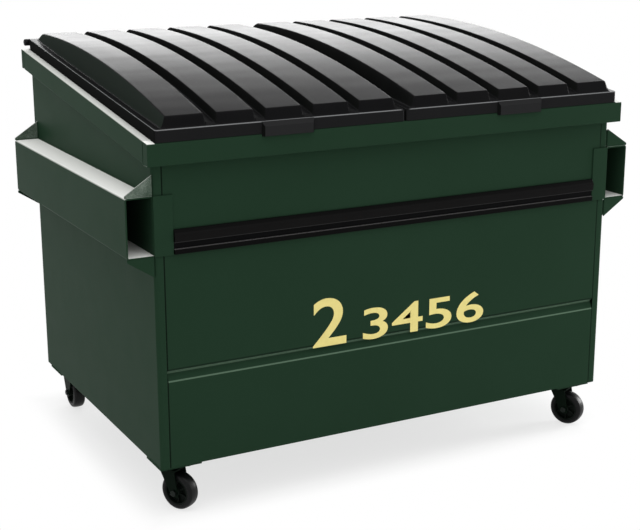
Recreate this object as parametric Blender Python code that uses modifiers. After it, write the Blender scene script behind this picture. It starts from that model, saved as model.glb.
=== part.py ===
"""A front-load rubbish dumpster: a welded steel box on four casters, closed by two ribbed plastic lids.

Lengths are in metres. X runs along the front, the front faces -Y, Z points up and the wheels stand on z = 0.
"""

import math

import bmesh
import bpy
from mathutils import Matrix, Vector

# Clearances
gap = 0.0003  # between pieces that touch or are welded together
bore_gap = 0.0005  # round a pin that turns in its bore
overrun = 0.002  # how far a cutter runs past the face that it cuts
bond = 0.003  # how deep a moulded lug reaches into the sheet that it grows from

# Body box: outer faces of the walls; the front height runs from the bottom edge to the rim's top
body_width = 1.778
body_depth = 1.231
front_height = 1.080
top_slope = math.radians(7.24)
wall = 0.003
floor_wall = 0.004
corner_flange = 0.031
corner_radius = 0.012
corner_steps = 4
bottom_flange = 0.060

# Crimp: the inward V that stiffens the front and rear panels, with a long lower face and a short upper one
crimp_rise = 0.298  # above the body's bottom edge
crimp_lower_height = 0.041
crimp_upper_height = 0.024
crimp_depth = 0.014

# Rim: the formed channel round the mouth
rim_wall = 0.003
rim_height = 0.072
front_rim_reach = 0.036
rear_rim_reach = 0.028
side_rim_reach = 0.0255
side_rim_lip = 0.019

# Fork pockets on the sides, and the plates that hold them
pocket_wall = 0.005
pocket_reach = 0.090
pocket_height = 0.194
pocket_rear_setback = 0.042  # from the body's rear face
gusset_height = 0.066
gusset_rim_gap = 0.031  # between the upper gussets and the front rim's bottom edge
gusset_thickness = 0.005
gusset_toe = 0.008
strap_width = 0.065
strap_thickness = 0.005

# Bumper rail across the front: the height of each band, from the bottom up, and how far it stands out
rail_rise = 0.002  # above the fork pockets' bottom
rail_lip_height = 0.017
rail_groove_height = 0.021
rail_bar_height = 0.042
rail_lip_reach = 0.011
rail_groove_reach = 0.003
rail_bar_reach = 0.015
rail_round = 0.010

# Lids: two alike, hung on one rod behind the rear rim
lid_seam = 0.004
lid_front_setback = 0.002
lid_side_inset = 0.0265
lid_rear_setback = 0.0185
lid_seat_gap = 0.0009
lid_height = 0.040
lid_wall = 0.0045
rib_count = 5
groove_width = 0.0415
rib_groove_slant = 0.004
rib_outer_slant = 0.015
side_flange = 0.025
front_flange = 0.0155
rear_flange = 0.013
rib_front_run = 0.009
rib_rear_run = 0.050
rib_front_height = 0.036
rib_rear_height = 0.031
rib_crown = 0.040
groove_depth = 0.028
crown_steps = 9

# Lid handles: a lip moulded on the front skirt of each lid
handle_width = 0.175
handle_reach = 0.011
handle_drop = 0.008
handle_top_inset = 0.003
handle_face_gap = 0.0015

# Hinge: rod, moulded knuckles on the lids, steel lugs on the rear rim
hinge_behind = 0.0065  # the rod's axis, behind the rim's rear face
hinge_rise = 0.0225
rod_radius = 0.008
eye_wall = 0.0045
knuckle_width = 0.055
knuckle_web_half = 0.006
knuckle_side_gap = 0.001
lug_thickness = 0.006
lug_drop = 0.060
lug_foot_depth = 0.008
notch_side = 0.004
notch_depth = 0.036
cap_thickness = 0.012
cap_bore_depth = 0.008
cap_rounding = 0.004
round_sides = 20

# Casters
wheel_radius = 0.0635
tyre_width = 0.050
tyre_round = 0.010
tyre_thickness = 0.0175
tyre_side_gap = 0.003
tyre_top_gap = 0.0108
hub_width = 0.044
hub_rim = 0.005
hub_web = 0.010
hub_fit = 0.0004
boss_radius = 0.015
boss_side_gap = 0.0005
axle_radius = 0.0062
axle_head_radius = 0.0110
axle_head_height = 0.007
nut_height = 0.008
fork_wall = 0.004
leg_foot_radius = 0.015
leg_top_width = 0.058
crown_length = 0.066
crown_thickness = 0.005
kingpin_radius = 0.007
kingpin_head_radius = 0.012
kingpin_head_height = 0.003
race_radius = 0.030
race_height = 0.012
plate_length = 0.110
plate_width = 0.100
plate_thickness = 0.005
caster_trail = 0.028
pad_width = 0.146
pad_depth = 0.130
pad_thickness = 0.006
wheel_sides = 32
hexagon = 6

# Where the casters stand: the middles of pads and kingpins, measured inwards from the body's faces
front_caster_setback = 0.0715
rear_caster_setback = 0.1125
left_pad_inset = 0.073
right_pad_inset = 0.099
front_left_kingpin_inset = 0.067
front_right_kingpin_inset = 0.102
front_left_turn = math.radians(30)
front_right_turn = math.radians(27)

# Derived sizes
eye_radius = rod_radius + eye_wall
rod_bore_radius = rod_radius + bore_gap
axle_bore_radius = axle_radius + bore_gap
kingpin_bore_radius = kingpin_radius + bore_gap
tyre_inner_radius = wheel_radius - tyre_thickness
fork_inner_width = tyre_width + 2 * tyre_side_gap
fork_outer_width = fork_inner_width + 2 * fork_wall
boss_width = fork_inner_width - 2 * boss_side_gap

# Derived heights of the caster's pieces from the ground up, then of what the body carries
crown_low = 2 * wheel_radius + tyre_top_gap
race_bottom = crown_low + crown_thickness + gap
race_top = race_bottom + race_height
plate_bottom = race_top + gap
plate_top = plate_bottom + plate_thickness
pad_top = plate_top + gap + pad_thickness
body_bottom = pad_top + gap
crimp_bottom = body_bottom + crimp_rise
crimp_middle = crimp_bottom + crimp_lower_height
crimp_top = crimp_middle + crimp_upper_height
front_rim_top = body_bottom + front_height
pocket_top = front_rim_top - rim_height - gusset_rim_gap - gusset_height
pocket_bottom = pocket_top - pocket_height
rail_bottom = pocket_bottom + rail_rise

# Derived places
front_y = -body_depth / 2
rear_y = body_depth / 2
side_x = body_width / 2
rim_front_y = front_y - front_rim_reach
rim_rear_y = rear_y + rear_rim_reach
rim_side_x = side_x + side_rim_reach
pocket_rear_y = rear_y - pocket_rear_setback
floor_bottom = body_bottom + wall + gap
lid_front_y = rim_front_y + lid_front_setback
lid_rear_y = rim_rear_y - lid_rear_setback
lid_outer_x = rim_side_x - lid_side_inset
hinge_y = rim_rear_y + hinge_behind
left_pad_x = left_pad_inset - side_x
right_pad_x = side_x - right_pad_inset
front_caster_y = front_y + front_caster_setback
rear_caster_y = rear_y - rear_caster_setback


def rim_top(y):
    """Height of the rim's upper face, which rises to the rear."""
    return front_rim_top + (y - rim_front_y) * math.tan(top_slope)


def panel_top(y):
    """Top edge of a wall, just under the rim's upper flange."""
    return rim_top(y) - rim_wall - 2 * gap


hinge_z = rim_top(rim_rear_y) + hinge_rise

# Colours as linear RGB
green = (0.0156, 0.0343, 0.0168)
lid_black = (0.011, 0.0115, 0.012)
rail_black = (0.008, 0.008, 0.009)
frame_green = (0.009, 0.015, 0.010)
rubber_black = (0.007, 0.007, 0.007)
hub_grey = (0.012, 0.012, 0.013)
zinc = (0.42, 0.42, 0.40)

for old in list(bpy.data.objects):
    bpy.data.objects.remove(old, do_unlink=True)

parts = bpy.data.collections.new("dumpster")
cutters = bpy.data.collections.new("cutters")
bpy.context.scene.collection.children.link(parts)
bpy.context.scene.collection.children.link(cutters)

# Edges flatter than this are shaded smooth on round pieces
smooth_limit = math.radians(35)

# Turns that lay a slab, drawn in its own XY plane, across one of the body's axes
ACROSS_X = Matrix(((0, 0, 1), (1, 0, 0), (0, 1, 0))).to_4x4()
ACROSS_Y = Matrix.Rotation(math.pi / 2, 4, "X")
ALONG_X = Matrix.Rotation(math.pi / 2, 4, "Y")


# Helpers


def material(name, colour, roughness, metallic):
    """A surface of one colour."""
    made = bpy.data.materials.new(name)
    made.use_nodes = True
    shader = made.node_tree.nodes["Principled BSDF"]
    shader.inputs["Base Color"].default_value = (*colour, 1.0)
    shader.inputs["Roughness"].default_value = roughness
    shader.inputs["Metallic"].default_value = metallic
    return made


def add_object(name, mesh, finish, smooth=False):
    """A visible sub-part with its own material."""
    made = bpy.data.objects.new(name, mesh)
    parts.objects.link(made)
    colour, roughness, metallic = finish
    mesh.materials.clear()
    mesh.materials.append(material(name, colour, roughness, metallic))
    if smooth:
        mesh.shade_smooth()
        mesh.set_sharp_from_angle(angle=smooth_limit)
    return made


def add_helper(name, mesh):
    """A shape that cuts or joins a sub-part and isn't one itself."""
    made = bpy.data.objects.new(name, mesh)
    cutters.objects.link(made)
    made.hide_render = True
    made.display_type = "WIRE"
    return made


def mesh_from(bm, name):
    """Turns a bmesh into a mesh with its faces pointing out."""
    bmesh.ops.recalc_face_normals(bm, faces=bm.faces)
    mesh = bpy.data.meshes.new(name)
    bm.to_mesh(mesh)
    bm.free()
    return mesh


def box_mesh(name, low, high):
    """A block between two corners."""
    low, high = Vector(low), Vector(high)
    bm = bmesh.new()
    bmesh.ops.create_cube(bm, size=1)
    for vert in bm.verts:
        vert.co = Vector(high[i] if vert.co[i] > 0 else low[i] for i in range(3))
    return mesh_from(bm, name)


def slab_mesh(name, outline, thickness, turn, centre):
    """A flat plate: an outline in two directions, thick in the third and turned to lie across an axis."""
    curve = bpy.data.curves.new(name, "CURVE")
    curve.dimensions = "2D"
    curve.fill_mode = "BOTH"
    curve.extrude = thickness / 2
    spline = curve.splines.new("POLY")
    spline.points.add(len(outline) - 1)
    for point, (u, v) in zip(spline.points, outline):
        point.co = (u, v, 0, 1)
    spline.use_cyclic_u = True
    holder = bpy.data.objects.new(name, curve)
    bpy.context.scene.collection.objects.link(holder)
    bpy.context.view_layer.update()
    evaluated = holder.evaluated_get(bpy.context.evaluated_depsgraph_get())
    flat = bpy.data.meshes.new_from_object(evaluated)
    bm = bmesh.new()
    bm.from_mesh(flat)
    bpy.data.objects.remove(holder)
    bpy.data.meshes.remove(flat)
    bmesh.ops.remove_doubles(bm, verts=bm.verts, dist=gap / 10)
    bmesh.ops.transform(bm, matrix=Matrix.Translation(centre) @ turn, verts=bm.verts)
    return mesh_from(bm, name)


def round_mesh(name, radius, length, turn, centre, sides=round_sides):
    """A cylinder with its axis along Z before it is turned."""
    bm = bmesh.new()
    bmesh.ops.create_cone(
        bm,
        cap_ends=True,
        segments=sides,
        radius1=radius,
        radius2=radius,
        depth=length,
    )
    bmesh.ops.transform(bm, matrix=Matrix.Translation(centre) @ turn, verts=bm.verts)
    return mesh_from(bm, name)


def joined_mesh(name, meshes):
    """Several separate solids in one mesh, for use as one helper."""
    bm = bmesh.new()
    for mesh in meshes:
        bm.from_mesh(mesh)
        bpy.data.meshes.remove(mesh)
    return mesh_from(bm, name)


def turned(name, profile, finish, sides):
    """A round piece: (radius, height) points turned about Z, running down its outer side.

    A profile that starts and ends on the axis is left open there, and any other is closed to a ring.
    """
    bm = bmesh.new()
    points = [bm.verts.new((radius, 0, height)) for radius, height in profile]
    following = points[1:] if profile[0][0] == 0 else points[1:] + points[:1]
    for first, second in zip(points, following):
        bm.edges.new((first, second))
    mesh = bpy.data.meshes.new(name)
    bm.to_mesh(mesh)
    bm.free()
    made = add_object(name, mesh, finish)
    screw = made.modifiers.new("turn", "SCREW")
    screw.steps = sides
    screw.render_steps = sides
    screw.use_merge_vertices = True
    screw.merge_threshold = gap / 10
    screw.use_smooth_shade = True
    return made


def sheet_mesh(name, rows):
    """An open surface through rows of points.

    It faces the side from which the columns run to the right and the rows run upwards.
    """
    columns = len(rows[0])
    bm = bmesh.new()
    bmesh.ops.create_grid(bm, x_segments=columns - 1, y_segments=len(rows) - 1, size=1)
    for vert in bm.verts:
        column = round((vert.co.x + 1) / 2 * (columns - 1))
        row = round((vert.co.y + 1) / 2 * (len(rows) - 1))
        vert.co = rows[row][column]
    mesh = bpy.data.meshes.new(name)
    bm.to_mesh(mesh)
    bm.free()
    return mesh


def thicken(made, thickness):
    """Gives an open surface its thickness on the inner side."""
    solidify = made.modifiers.new("thickness", "SOLIDIFY")
    solidify.thickness = thickness
    solidify.offset = -1
    solidify.use_even_offset = True
    solidify.use_quality_normals = True
    return made


def combine(made, other, operation):
    """Joins a helper to a sub-part, or cuts it away."""
    boolean = made.modifiers.new(operation.lower(), "BOOLEAN")
    boolean.operation = operation
    boolean.solver = "EXACT"
    boolean.object = other
    return made


def arc(centre, radius, start, end, steps):
    """Points along a circular arc, angles in radians."""
    angles = [start + (end - start) * step / steps for step in range(steps + 1)]
    return [
        (centre[0] + radius * math.cos(angle), centre[1] + radius * math.sin(angle))
        for angle in angles
    ]


def pivot(name, place, turn=0.0, parent=None):
    """An empty on a joint's axis, which carries the pieces that move about it."""
    made = bpy.data.objects.new(name, None)
    parts.objects.link(made)
    made.location = place
    made.rotation_euler = (0, 0, turn)
    made.parent = parent
    return made


def hang(made, parent, place=(0, 0, 0), turn=(0, 0, 0)):
    """Places a piece under its pivot."""
    made.parent = parent
    made.location = place
    made.rotation_euler = turn
    return made


painted = (green, 0.45, 0.0)
dark_frame = (frame_green, 0.5, 0.0)
bright_steel = (zinc, 0.35, 1.0)
moulded = (lid_black, 0.35, 0.0)

# Side panels: one sheet each, bent round the corners into narrow flanges on the front and rear


def side_panel(side, name):
    seam_x = side_x - corner_flange
    bend_x = side_x - corner_radius
    quarter = math.pi / 2
    plan = [(seam_x, front_y)]
    plan += arc((bend_x, front_y + corner_radius), corner_radius, -quarter, 0, corner_steps)
    plan += arc((bend_x, rear_y - corner_radius), corner_radius, 0, quarter, corner_steps)
    plan += [(seam_x, rear_y)]
    if side < 0:
        plan = [(-x, y) for x, y in reversed(plan)]
    bottom = [(x, y, body_bottom) for x, y in plan]
    top = [(x, y, panel_top(y)) for x, y in plan]
    made = add_object(name, sheet_mesh(name, [bottom, top]), painted)
    thicken(made, wall)


side_panel(-1, "left_side_panel")
side_panel(1, "right_side_panel")

# Front and rear panels: flat sheets with one crimp, and a flange turned in under the floor


def end_panel(outer_y, inward, name):
    half = side_x - corner_flange - gap
    profile = [
        (outer_y + inward * bottom_flange, body_bottom),
        (outer_y, body_bottom),
        (outer_y, crimp_bottom),
        (outer_y + inward * crimp_depth, crimp_middle),
        (outer_y, crimp_top),
        (outer_y, panel_top(outer_y)),
    ]
    rows = [[(x, y, z) for x in (-inward * half, inward * half)] for y, z in profile]
    made = add_object(name, sheet_mesh(name, rows), painted)
    thicken(made, wall)


end_panel(front_y, 1, "front_panel")
end_panel(rear_y, -1, "rear_panel")

# Floor: a flat plate on the end panels' flanges


def floor_plate(name):
    """A rectangle that fills the box, with its corners cut to clear the bends of the side panels."""
    half_x = side_x - wall - gap
    half_y = body_depth / 2 - wall - gap
    quarter = [(half_x, half_y - corner_radius), (half_x - corner_radius, half_y)]
    outline = quarter + [(-x, y) for x, y in reversed(quarter)]
    outline += [(-x, -y) for x, y in outline]
    centre = (0, 0, floor_bottom + floor_wall / 2)
    add_object(name, slab_mesh(name, outline, floor_wall, Matrix(), centre), painted)


floor_plate("floor_plate")

# Rims: channels welded round the outside of the mouth; the front and rear ones close the corners


def end_rim(outer_y, outward, reach, name):
    """A tray open towards the wall, with a longer upper flange that covers the wall's top edge."""
    face_y = outer_y + outward * reach
    upper_y = outer_y - outward * wall
    lower_y = outer_y + outward * gap
    bm = bmesh.new()
    bmesh.ops.create_cube(bm, size=1)
    backs = [face for face in bm.faces if face.normal.y * outward < -0.5]
    bmesh.ops.delete(bm, geom=backs, context="FACES_ONLY")
    for vert in bm.verts:
        x = math.copysign(rim_side_x, vert.co.x)
        upper = vert.co.z > 0
        if vert.co.y * outward > 0:
            y = face_y
        else:
            y = upper_y if upper else lower_y
        z = rim_top(y) if upper else rim_top(face_y) - rim_height
        vert.co = (x, y, z)
    mesh = bpy.data.meshes.new(name)
    bm.to_mesh(mesh)
    bm.free()
    thicken(add_object(name, mesh, painted), rim_wall)


def side_rim(side, name):
    """A channel along the slope: lower flange, web, and an upper flange that reaches inside the wall."""
    start = front_y + wall + gap
    end = rear_y - wall - gap
    section = [
        (side_x + gap, -rim_height),
        (rim_side_x, -rim_height),
        (rim_side_x, 0),
        (side_x - side_rim_lip, 0),
    ]
    ends = (start, end) if side > 0 else (end, start)
    rows = [[(side * x, y, rim_top(y) + z) for y in ends] for x, z in section]
    made = add_object(name, sheet_mesh(name, rows), painted)
    thicken(made, rim_wall)


end_rim(front_y, -1, front_rim_reach, "front_rim")
end_rim(rear_y, 1, rear_rim_reach, "rear_rim")
side_rim(-1, "left_rim")
side_rim(1, "right_rim")

# Fork pockets: channels open at both ends, with gussets at their corners and a strap on each front corner


def fork_pocket(side, name):
    inner_x = side_x + gap
    outer_x = side_x + pocket_reach
    section = [
        (inner_x, pocket_bottom),
        (outer_x, pocket_bottom),
        (outer_x, pocket_top),
        (inner_x, pocket_top),
    ]
    ends = (front_y, pocket_rear_y) if side > 0 else (pocket_rear_y, front_y)
    rows = [[(side * x, y, z) for y in ends] for x, z in section]
    made = add_object(name, sheet_mesh(name, rows), painted)
    thicken(made, pocket_wall)


def gusset(side, y, upright, name):
    """A triangle that stands on the pocket and leans on the wall; upright is 1 above and -1 below."""
    wall_x = side_x + gap
    seat = (pocket_top if upright > 0 else pocket_bottom) + upright * gap
    toe_x = side_x + pocket_reach
    outline = [
        (side * wall_x, seat),
        (side * toe_x, seat),
        (side * toe_x, seat + upright * gusset_toe),
        (side * wall_x, seat + upright * gusset_height),
    ]
    mesh = slab_mesh(name, outline, gusset_thickness, ACROSS_Y, (0, y, 0))
    add_object(name, mesh, painted)


def corner_strap(side, name):
    """A flat plate on the front, from the corner inwards, at the height of the pocket."""
    outer_x = side_x - corner_radius
    inner_x = side_x - strap_width
    low_x, high_x = sorted((side * outer_x, side * inner_x))
    low = (low_x, front_y - gap - strap_thickness, pocket_bottom)
    high = (high_x, front_y - gap, pocket_top)
    add_object(name, box_mesh(name, low, high), painted)


for side, side_name in ((-1, "left"), (1, "right")):
    fork_pocket(side, f"{side_name}_fork_pocket")
    corner_strap(side, f"{side_name}_corner_strap")
    front_gusset_y = front_y + gusset_thickness / 2
    rear_gusset_y = pocket_rear_y - gusset_thickness / 2
    for y, end_name in ((front_gusset_y, "front"), (rear_gusset_y, "rear")):
        gusset(side, y, 1, f"{side_name}_{end_name}_upper_gusset")
        gusset(side, y, -1, f"{side_name}_{end_name}_lower_gusset")

# Bumper rail: one extrusion with a lip, a groove and a rounded bar


def bumper_rail(name):
    back = front_y - gap
    bar_low = rail_lip_height + rail_groove_height
    bar_middle = bar_low + rail_bar_height / 2
    rail_height = bar_low + rail_bar_height
    heights_and_reaches = [
        (0, 0),
        (0, rail_lip_reach),
        (rail_lip_height, rail_lip_reach),
        (rail_lip_height, rail_groove_reach),
        (bar_low, rail_groove_reach),
        (bar_low, rail_bar_reach - rail_groove_reach),
        (bar_middle - rail_round / 2, rail_bar_reach),
        (bar_middle + rail_round / 2, rail_bar_reach),
        (rail_height, rail_bar_reach - rail_round),
        (rail_height, 0),
    ]
    outline = [(back - reach, rail_bottom + height) for height, reach in heights_and_reaches]
    length = 2 * (side_x - strap_width - gap)
    add_object(name, slab_mesh(name, outline, length, ACROSS_X, (0, 0, 0)), (rail_black, 0.5, 0.0))


bumper_rail("front_bumper_rail")

# Lids: thin mouldings with crowned ribs; a skirt round the edge stands on the rim

lid_width = lid_outer_x - lid_seam / 2
first_rib = side_flange + rib_outer_slant
groove_count = rib_count - 1
rib_top_width = (lid_width - 2 * first_rib - groove_count * groove_width) / rib_count
rib_pitch = rib_top_width + groove_width


def groove_centre(index):
    """Distance of a groove's middle from the lid's edge, the same from either edge."""
    return first_rib + (index + 1) * rib_pitch - groove_width / 2


def lid_columns():
    """Places across a lid from its left edge, each with the level that it carries there."""
    columns = [(0, "flange"), (side_flange, "flange")]
    for rib in range(rib_count):
        left = first_rib + rib * rib_pitch
        right = left + rib_top_width
        columns += [(left, "rib"), (right, "rib")]
        if rib < groove_count:
            next_left = left + rib_pitch
            columns.append((right + rib_groove_slant, "groove"))
            columns.append((next_left - rib_groove_slant, "groove"))
    columns += [(lid_width - side_flange, "flange"), (lid_width, "flange")]
    return columns


# Hinge lugs stand at the seam and in two grooves of each lid, the second and the last from the seam
near_lug = lid_seam / 2 + groove_centre(1)
far_lug = lid_seam / 2 + groove_centre(groove_count - 1)
lug_places = {
    "far_left": -far_lug,
    "left": -near_lug,
    "centre": 0.0,
    "right": near_lug,
    "far_right": far_lug,
}


def lid_rows():
    """Places along a lid from the front, each with the height of the ribs there, or None where it is flat."""
    front_top = lid_front_y + front_flange + rib_front_run
    rear_base = lid_rear_y - rear_flange
    rear_top = rear_base - rib_rear_run
    rows = [(lid_front_y, None), (lid_front_y + front_flange, None)]
    for step in range(crown_steps + 1):
        share = step / crown_steps
        base = rib_front_height + (rib_rear_height - rib_front_height) * share
        arch = rib_crown * (1 - (2 * share - 1) ** 2)
        rows.append((front_top + (rear_top - front_top) * share, base + arch))
    rows += [(rear_base, None), (lid_rear_y, None)]
    return rows


def lid_skin(name, left_x):
    """The upper surface and the skirt of a lid, as an open surface about the hinge's axis."""
    surface = []
    for y, rib_height in lid_rows():
        row = []
        for place, level in lid_columns():
            rise = 0.0
            if rib_height is not None and level != "flange":
                rise = rib_height if level == "rib" else rib_height - groove_depth
            row.append((left_x + place, y - hinge_y, rim_top(y) + lid_height + rise - hinge_z))
        surface.append(row)
    mesh = sheet_mesh(name, surface)
    bm = bmesh.new()
    bm.from_mesh(mesh)
    edge = [one for one in bm.edges if one.is_boundary]
    grown = bmesh.ops.extrude_edge_only(bm, edges=edge)["geom"]
    lower = [one for one in grown if isinstance(one, bmesh.types.BMVert)]
    bmesh.ops.translate(bm, verts=lower, vec=(0, 0, lid_seat_gap - lid_height))
    bmesh.ops.recalc_face_normals(bm, faces=bm.faces)
    bm.to_mesh(mesh)
    bm.free()
    return mesh


def knuckle_mesh(name, centre_x):
    """A moulded eye round the rod, joined to the rear skirt by a web."""
    web_y = lid_rear_y - bond - hinge_y
    half_angle = math.asin(knuckle_web_half / eye_radius)
    outline = [(web_y, -knuckle_web_half)]
    start = -math.pi + half_angle
    outline += arc((0, 0), eye_radius, start, -start, round_sides)
    outline += [(web_y, knuckle_web_half)]
    return slab_mesh(name, outline, knuckle_width, ACROSS_X, (centre_x, 0, 0))


def handle_mesh(name, centre_x):
    """A lip in front of the skirt, which hangs a little over the rim's face."""
    inner_y = lid_front_y + bond
    face_y = rim_front_y - handle_face_gap
    outer_y = rim_front_y - handle_reach
    skirt_bottom = rim_top(lid_front_y) + lid_seat_gap
    top = skirt_bottom + lid_height - handle_top_inset
    outline = [
        (inner_y, top),
        (face_y, top + handle_top_inset),
        (outer_y, top - handle_top_inset),
        (outer_y, skirt_bottom - handle_drop + handle_top_inset),
        (face_y, skirt_bottom - handle_drop),
        (face_y, skirt_bottom + handle_top_inset),
        (inner_y, skirt_bottom + handle_top_inset),
    ]
    local = [(y - hinge_y, z - hinge_z) for y, z in outline]
    return slab_mesh(name, local, handle_width, ACROSS_X, (centre_x, 0, 0))


def knuckle_places(left_x, right_x):
    """A knuckle at each side of every lug and at the rod's end, as far as it lies on this lid."""
    half = knuckle_width / 2
    offset = lug_thickness / 2 + knuckle_side_gap + half
    places = [lug + side * offset for lug in lug_places.values() for side in (-1, 1)]
    places += [side * (lid_outer_x - half) for side in (-1, 1)]
    return [x for x in places if left_x - gap < x - half and x + half < right_x + gap]


def lid(name, left_x, right_x):
    """One moulding: skin, knuckles and handle, less the rod's bore and the notches for the lugs."""
    axis = pivot(f"{name}_hinge", (0, hinge_y, hinge_z))
    made = thicken(add_object(name, lid_skin(name, left_x), moulded), lid_wall)
    middle_x = (left_x + right_x) / 2
    additions = [knuckle_mesh("knuckle", x) for x in knuckle_places(left_x, right_x)]
    additions.append(handle_mesh("handle", middle_x))
    added = add_helper(f"{name}_lugs", joined_mesh(f"{name}_lugs", additions))
    bore_length = right_x - left_x + 2 * overrun
    removals = [round_mesh("bore", rod_bore_radius, bore_length, ALONG_X, (middle_x, 0, 0))]
    half_notch = lug_thickness / 2 + notch_side
    for lug in lug_places.values():
        if left_x - half_notch < lug < right_x + half_notch:
            low = (lug - half_notch, lid_rear_y - notch_depth - hinge_y, -lid_height)
            high = (lug + half_notch, lid_rear_y + overrun - hinge_y, lid_height)
            removals.append(box_mesh("notch", low, high))
    cut = add_helper(f"{name}_cuts", joined_mesh(f"{name}_cuts", removals))
    for one in (made, added, cut):
        one.parent = axis
    combine(made, added, "UNION")
    combine(made, cut, "DIFFERENCE")
    made.location = (0, 0, 0)


lid("left_lid", -lid_outer_x, -lid_seam / 2)
lid("right_lid", lid_seam / 2, lid_outer_x)

# Hinge rod with its end caps, in lugs on the rear rim

rod_length = 2 * (lid_outer_x + gap + cap_bore_depth)
rod_mesh = round_mesh("hinge_rod", rod_radius, rod_length, ALONG_X, (0, 0, 0))
rod = add_object("hinge_rod", rod_mesh, bright_steel, smooth=True)
rod.location = (0, hinge_y, hinge_z)


def rod_cap(side, name):
    """A domed cap pressed on the rod's end: closed outside, bored on the lid's side."""
    bore = rod_radius + gap
    profile = [
        (0, cap_thickness),
        (eye_radius - cap_rounding, cap_thickness),
        (eye_radius, cap_thickness - cap_rounding),
        (eye_radius, 0),
        (bore, 0),
        (bore, cap_bore_depth + gap),
        (0, cap_bore_depth + gap),
    ]
    made = turned(name, profile, (rubber_black, 0.5, 0.0), round_sides)
    made.location = (side * (lid_outer_x + gap), hinge_y, hinge_z)
    made.rotation_euler = (0, side * math.pi / 2, 0)


rod_cap(-1, "hinge_rod_left_cap")
rod_cap(1, "hinge_rod_right_cap")


def hinge_lug(place, name):
    """A plate welded on the rear rim's face, with an eye for the rod."""
    foot_y = rim_rear_y + gap - hinge_y
    foot_back = foot_y + lug_foot_depth
    tangent = math.asin(max(-1.0, min(1.0, foot_y / eye_radius)))
    outline = [(foot_y, -hinge_rise - lug_drop), (foot_back, -hinge_rise - lug_drop)]
    outline += arc((0, 0), eye_radius, -math.pi / 6, math.pi * 3 / 2 + tangent, round_sides)
    mesh = slab_mesh(name, outline, lug_thickness, ACROSS_X, (0, 0, 0))
    made = add_object(name, mesh, painted)
    bore_length = lug_thickness + 2 * overrun
    bore_mesh = round_mesh("bore", rod_bore_radius, bore_length, ALONG_X, (0, 0, 0))
    bore = add_helper(f"{name}_bore", bore_mesh)
    for one in (made, bore):
        one.location = (place, hinge_y, hinge_z)
    combine(made, bore, "DIFFERENCE")


for lug_name, place in lug_places.items():
    hinge_lug(place, f"hinge_lug_{lug_name}")

# Casters: wheel parts are the same in all four


def wheel(prefix, parent):
    """Tyre and hub about the axle, on a pivot of their own."""
    spin = pivot(f"{prefix}_wheel_axle", (0, 0, 0), parent=parent)
    half = tyre_width / 2
    inner_half = hub_width / 2
    shoulder = wheel_radius - tyre_round
    tyre_profile = [
        (tyre_inner_radius, inner_half),
        (shoulder, half - tyre_round / 4),
        (wheel_radius - tyre_round / 4, half - tyre_round),
        (wheel_radius, 0),
        (wheel_radius - tyre_round / 4, tyre_round - half),
        (shoulder, tyre_round / 4 - half),
        (tyre_inner_radius, -inner_half),
    ]
    tyre = turned(f"{prefix}_tyre", tyre_profile, (rubber_black, 0.6, 0.0), wheel_sides)
    outer = tyre_inner_radius - hub_fit
    hub_profile = [
        (axle_bore_radius, boss_width / 2),
        (boss_radius, boss_width / 2),
        (boss_radius, hub_web / 2),
        (outer - hub_rim, hub_web / 2),
        (outer - hub_rim, inner_half),
        (outer, inner_half),
        (outer, -inner_half),
        (outer - hub_rim, -inner_half),
        (outer - hub_rim, -hub_web / 2),
        (boss_radius, -hub_web / 2),
        (boss_radius, -boss_width / 2),
        (axle_bore_radius, -boss_width / 2),
    ]
    hub = turned(f"{prefix}_hub", hub_profile, (hub_grey, 0.5, 0.0), wheel_sides)
    for one in (tyre, hub):
        hang(one, spin, turn=(0, math.pi / 2, 0))


def axle(prefix, parent):
    """A bolt through the legs and the hub, with its nut on the far side."""
    outside = fork_outer_width / 2 + gap
    head_centre = (0, 0, outside + axle_head_height / 2)
    head = round_mesh("head", axle_head_radius, axle_head_height, Matrix(), head_centre, hexagon)
    shank_top = outside + axle_head_height / 2
    shank_end = outside + nut_height + axle_head_height / 2
    shank_centre = (0, 0, (shank_top - shank_end) / 2)
    shank = round_mesh("shank", axle_radius, shank_top + shank_end, Matrix(), shank_centre)
    bolt = add_object(f"{prefix}_axle_bolt", shank, bright_steel, smooth=True)
    joined = add_helper(f"{prefix}_axle_head", head)
    hang(joined, parent, turn=(0, -math.pi / 2, 0))
    hang(bolt, parent, turn=(0, -math.pi / 2, 0))
    combine(bolt, joined, "UNION")
    nut_centre = (0, 0, -outside - nut_height / 2)
    nut_mesh = round_mesh("nut", axle_head_radius, nut_height, Matrix(), nut_centre, hexagon)
    nut = add_object(f"{prefix}_axle_nut", nut_mesh, bright_steel)
    bore = round_mesh("nut_bore", axle_bore_radius, nut_height + 2 * overrun, Matrix(), nut_centre)
    cutter = add_helper(f"{prefix}_nut_bore", bore)
    hang(cutter, parent, turn=(0, -math.pi / 2, 0))
    hang(nut, parent, turn=(0, -math.pi / 2, 0))
    combine(nut, cutter, "DIFFERENCE")


def leg_outline(trail, top, top_width):
    """A leg from its flat top down to a round foot about the axle, which lies at the trail's distance."""
    foot = arc((-trail, wheel_radius), leg_foot_radius, math.pi, 2 * math.pi, round_sides // 2)
    return [(top_width / 2, top), (-top_width / 2, top)] + foot


def fork_meshes(name, trail, top, top_width, crown_size, crown_wall):
    """The crown plate, centred on the caster, and the two legs under it, before the bores."""
    half_width, half_depth = crown_size[0] / 2, crown_size[1] / 2
    low = (-half_width, -half_depth, top)
    high = (half_width, half_depth, top + crown_wall)
    crown = box_mesh(f"{name}_crown", low, high)
    legs = []
    for side in (-1, 1):
        centre_x = side * (fork_inner_width + fork_wall) / 2
        outline = leg_outline(trail, top + crown_wall / 2, top_width)
        legs.append(slab_mesh("leg", outline, fork_wall, ACROSS_X, (centre_x, 0, 0)))
    return crown, joined_mesh(f"{name}_legs", legs)


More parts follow.
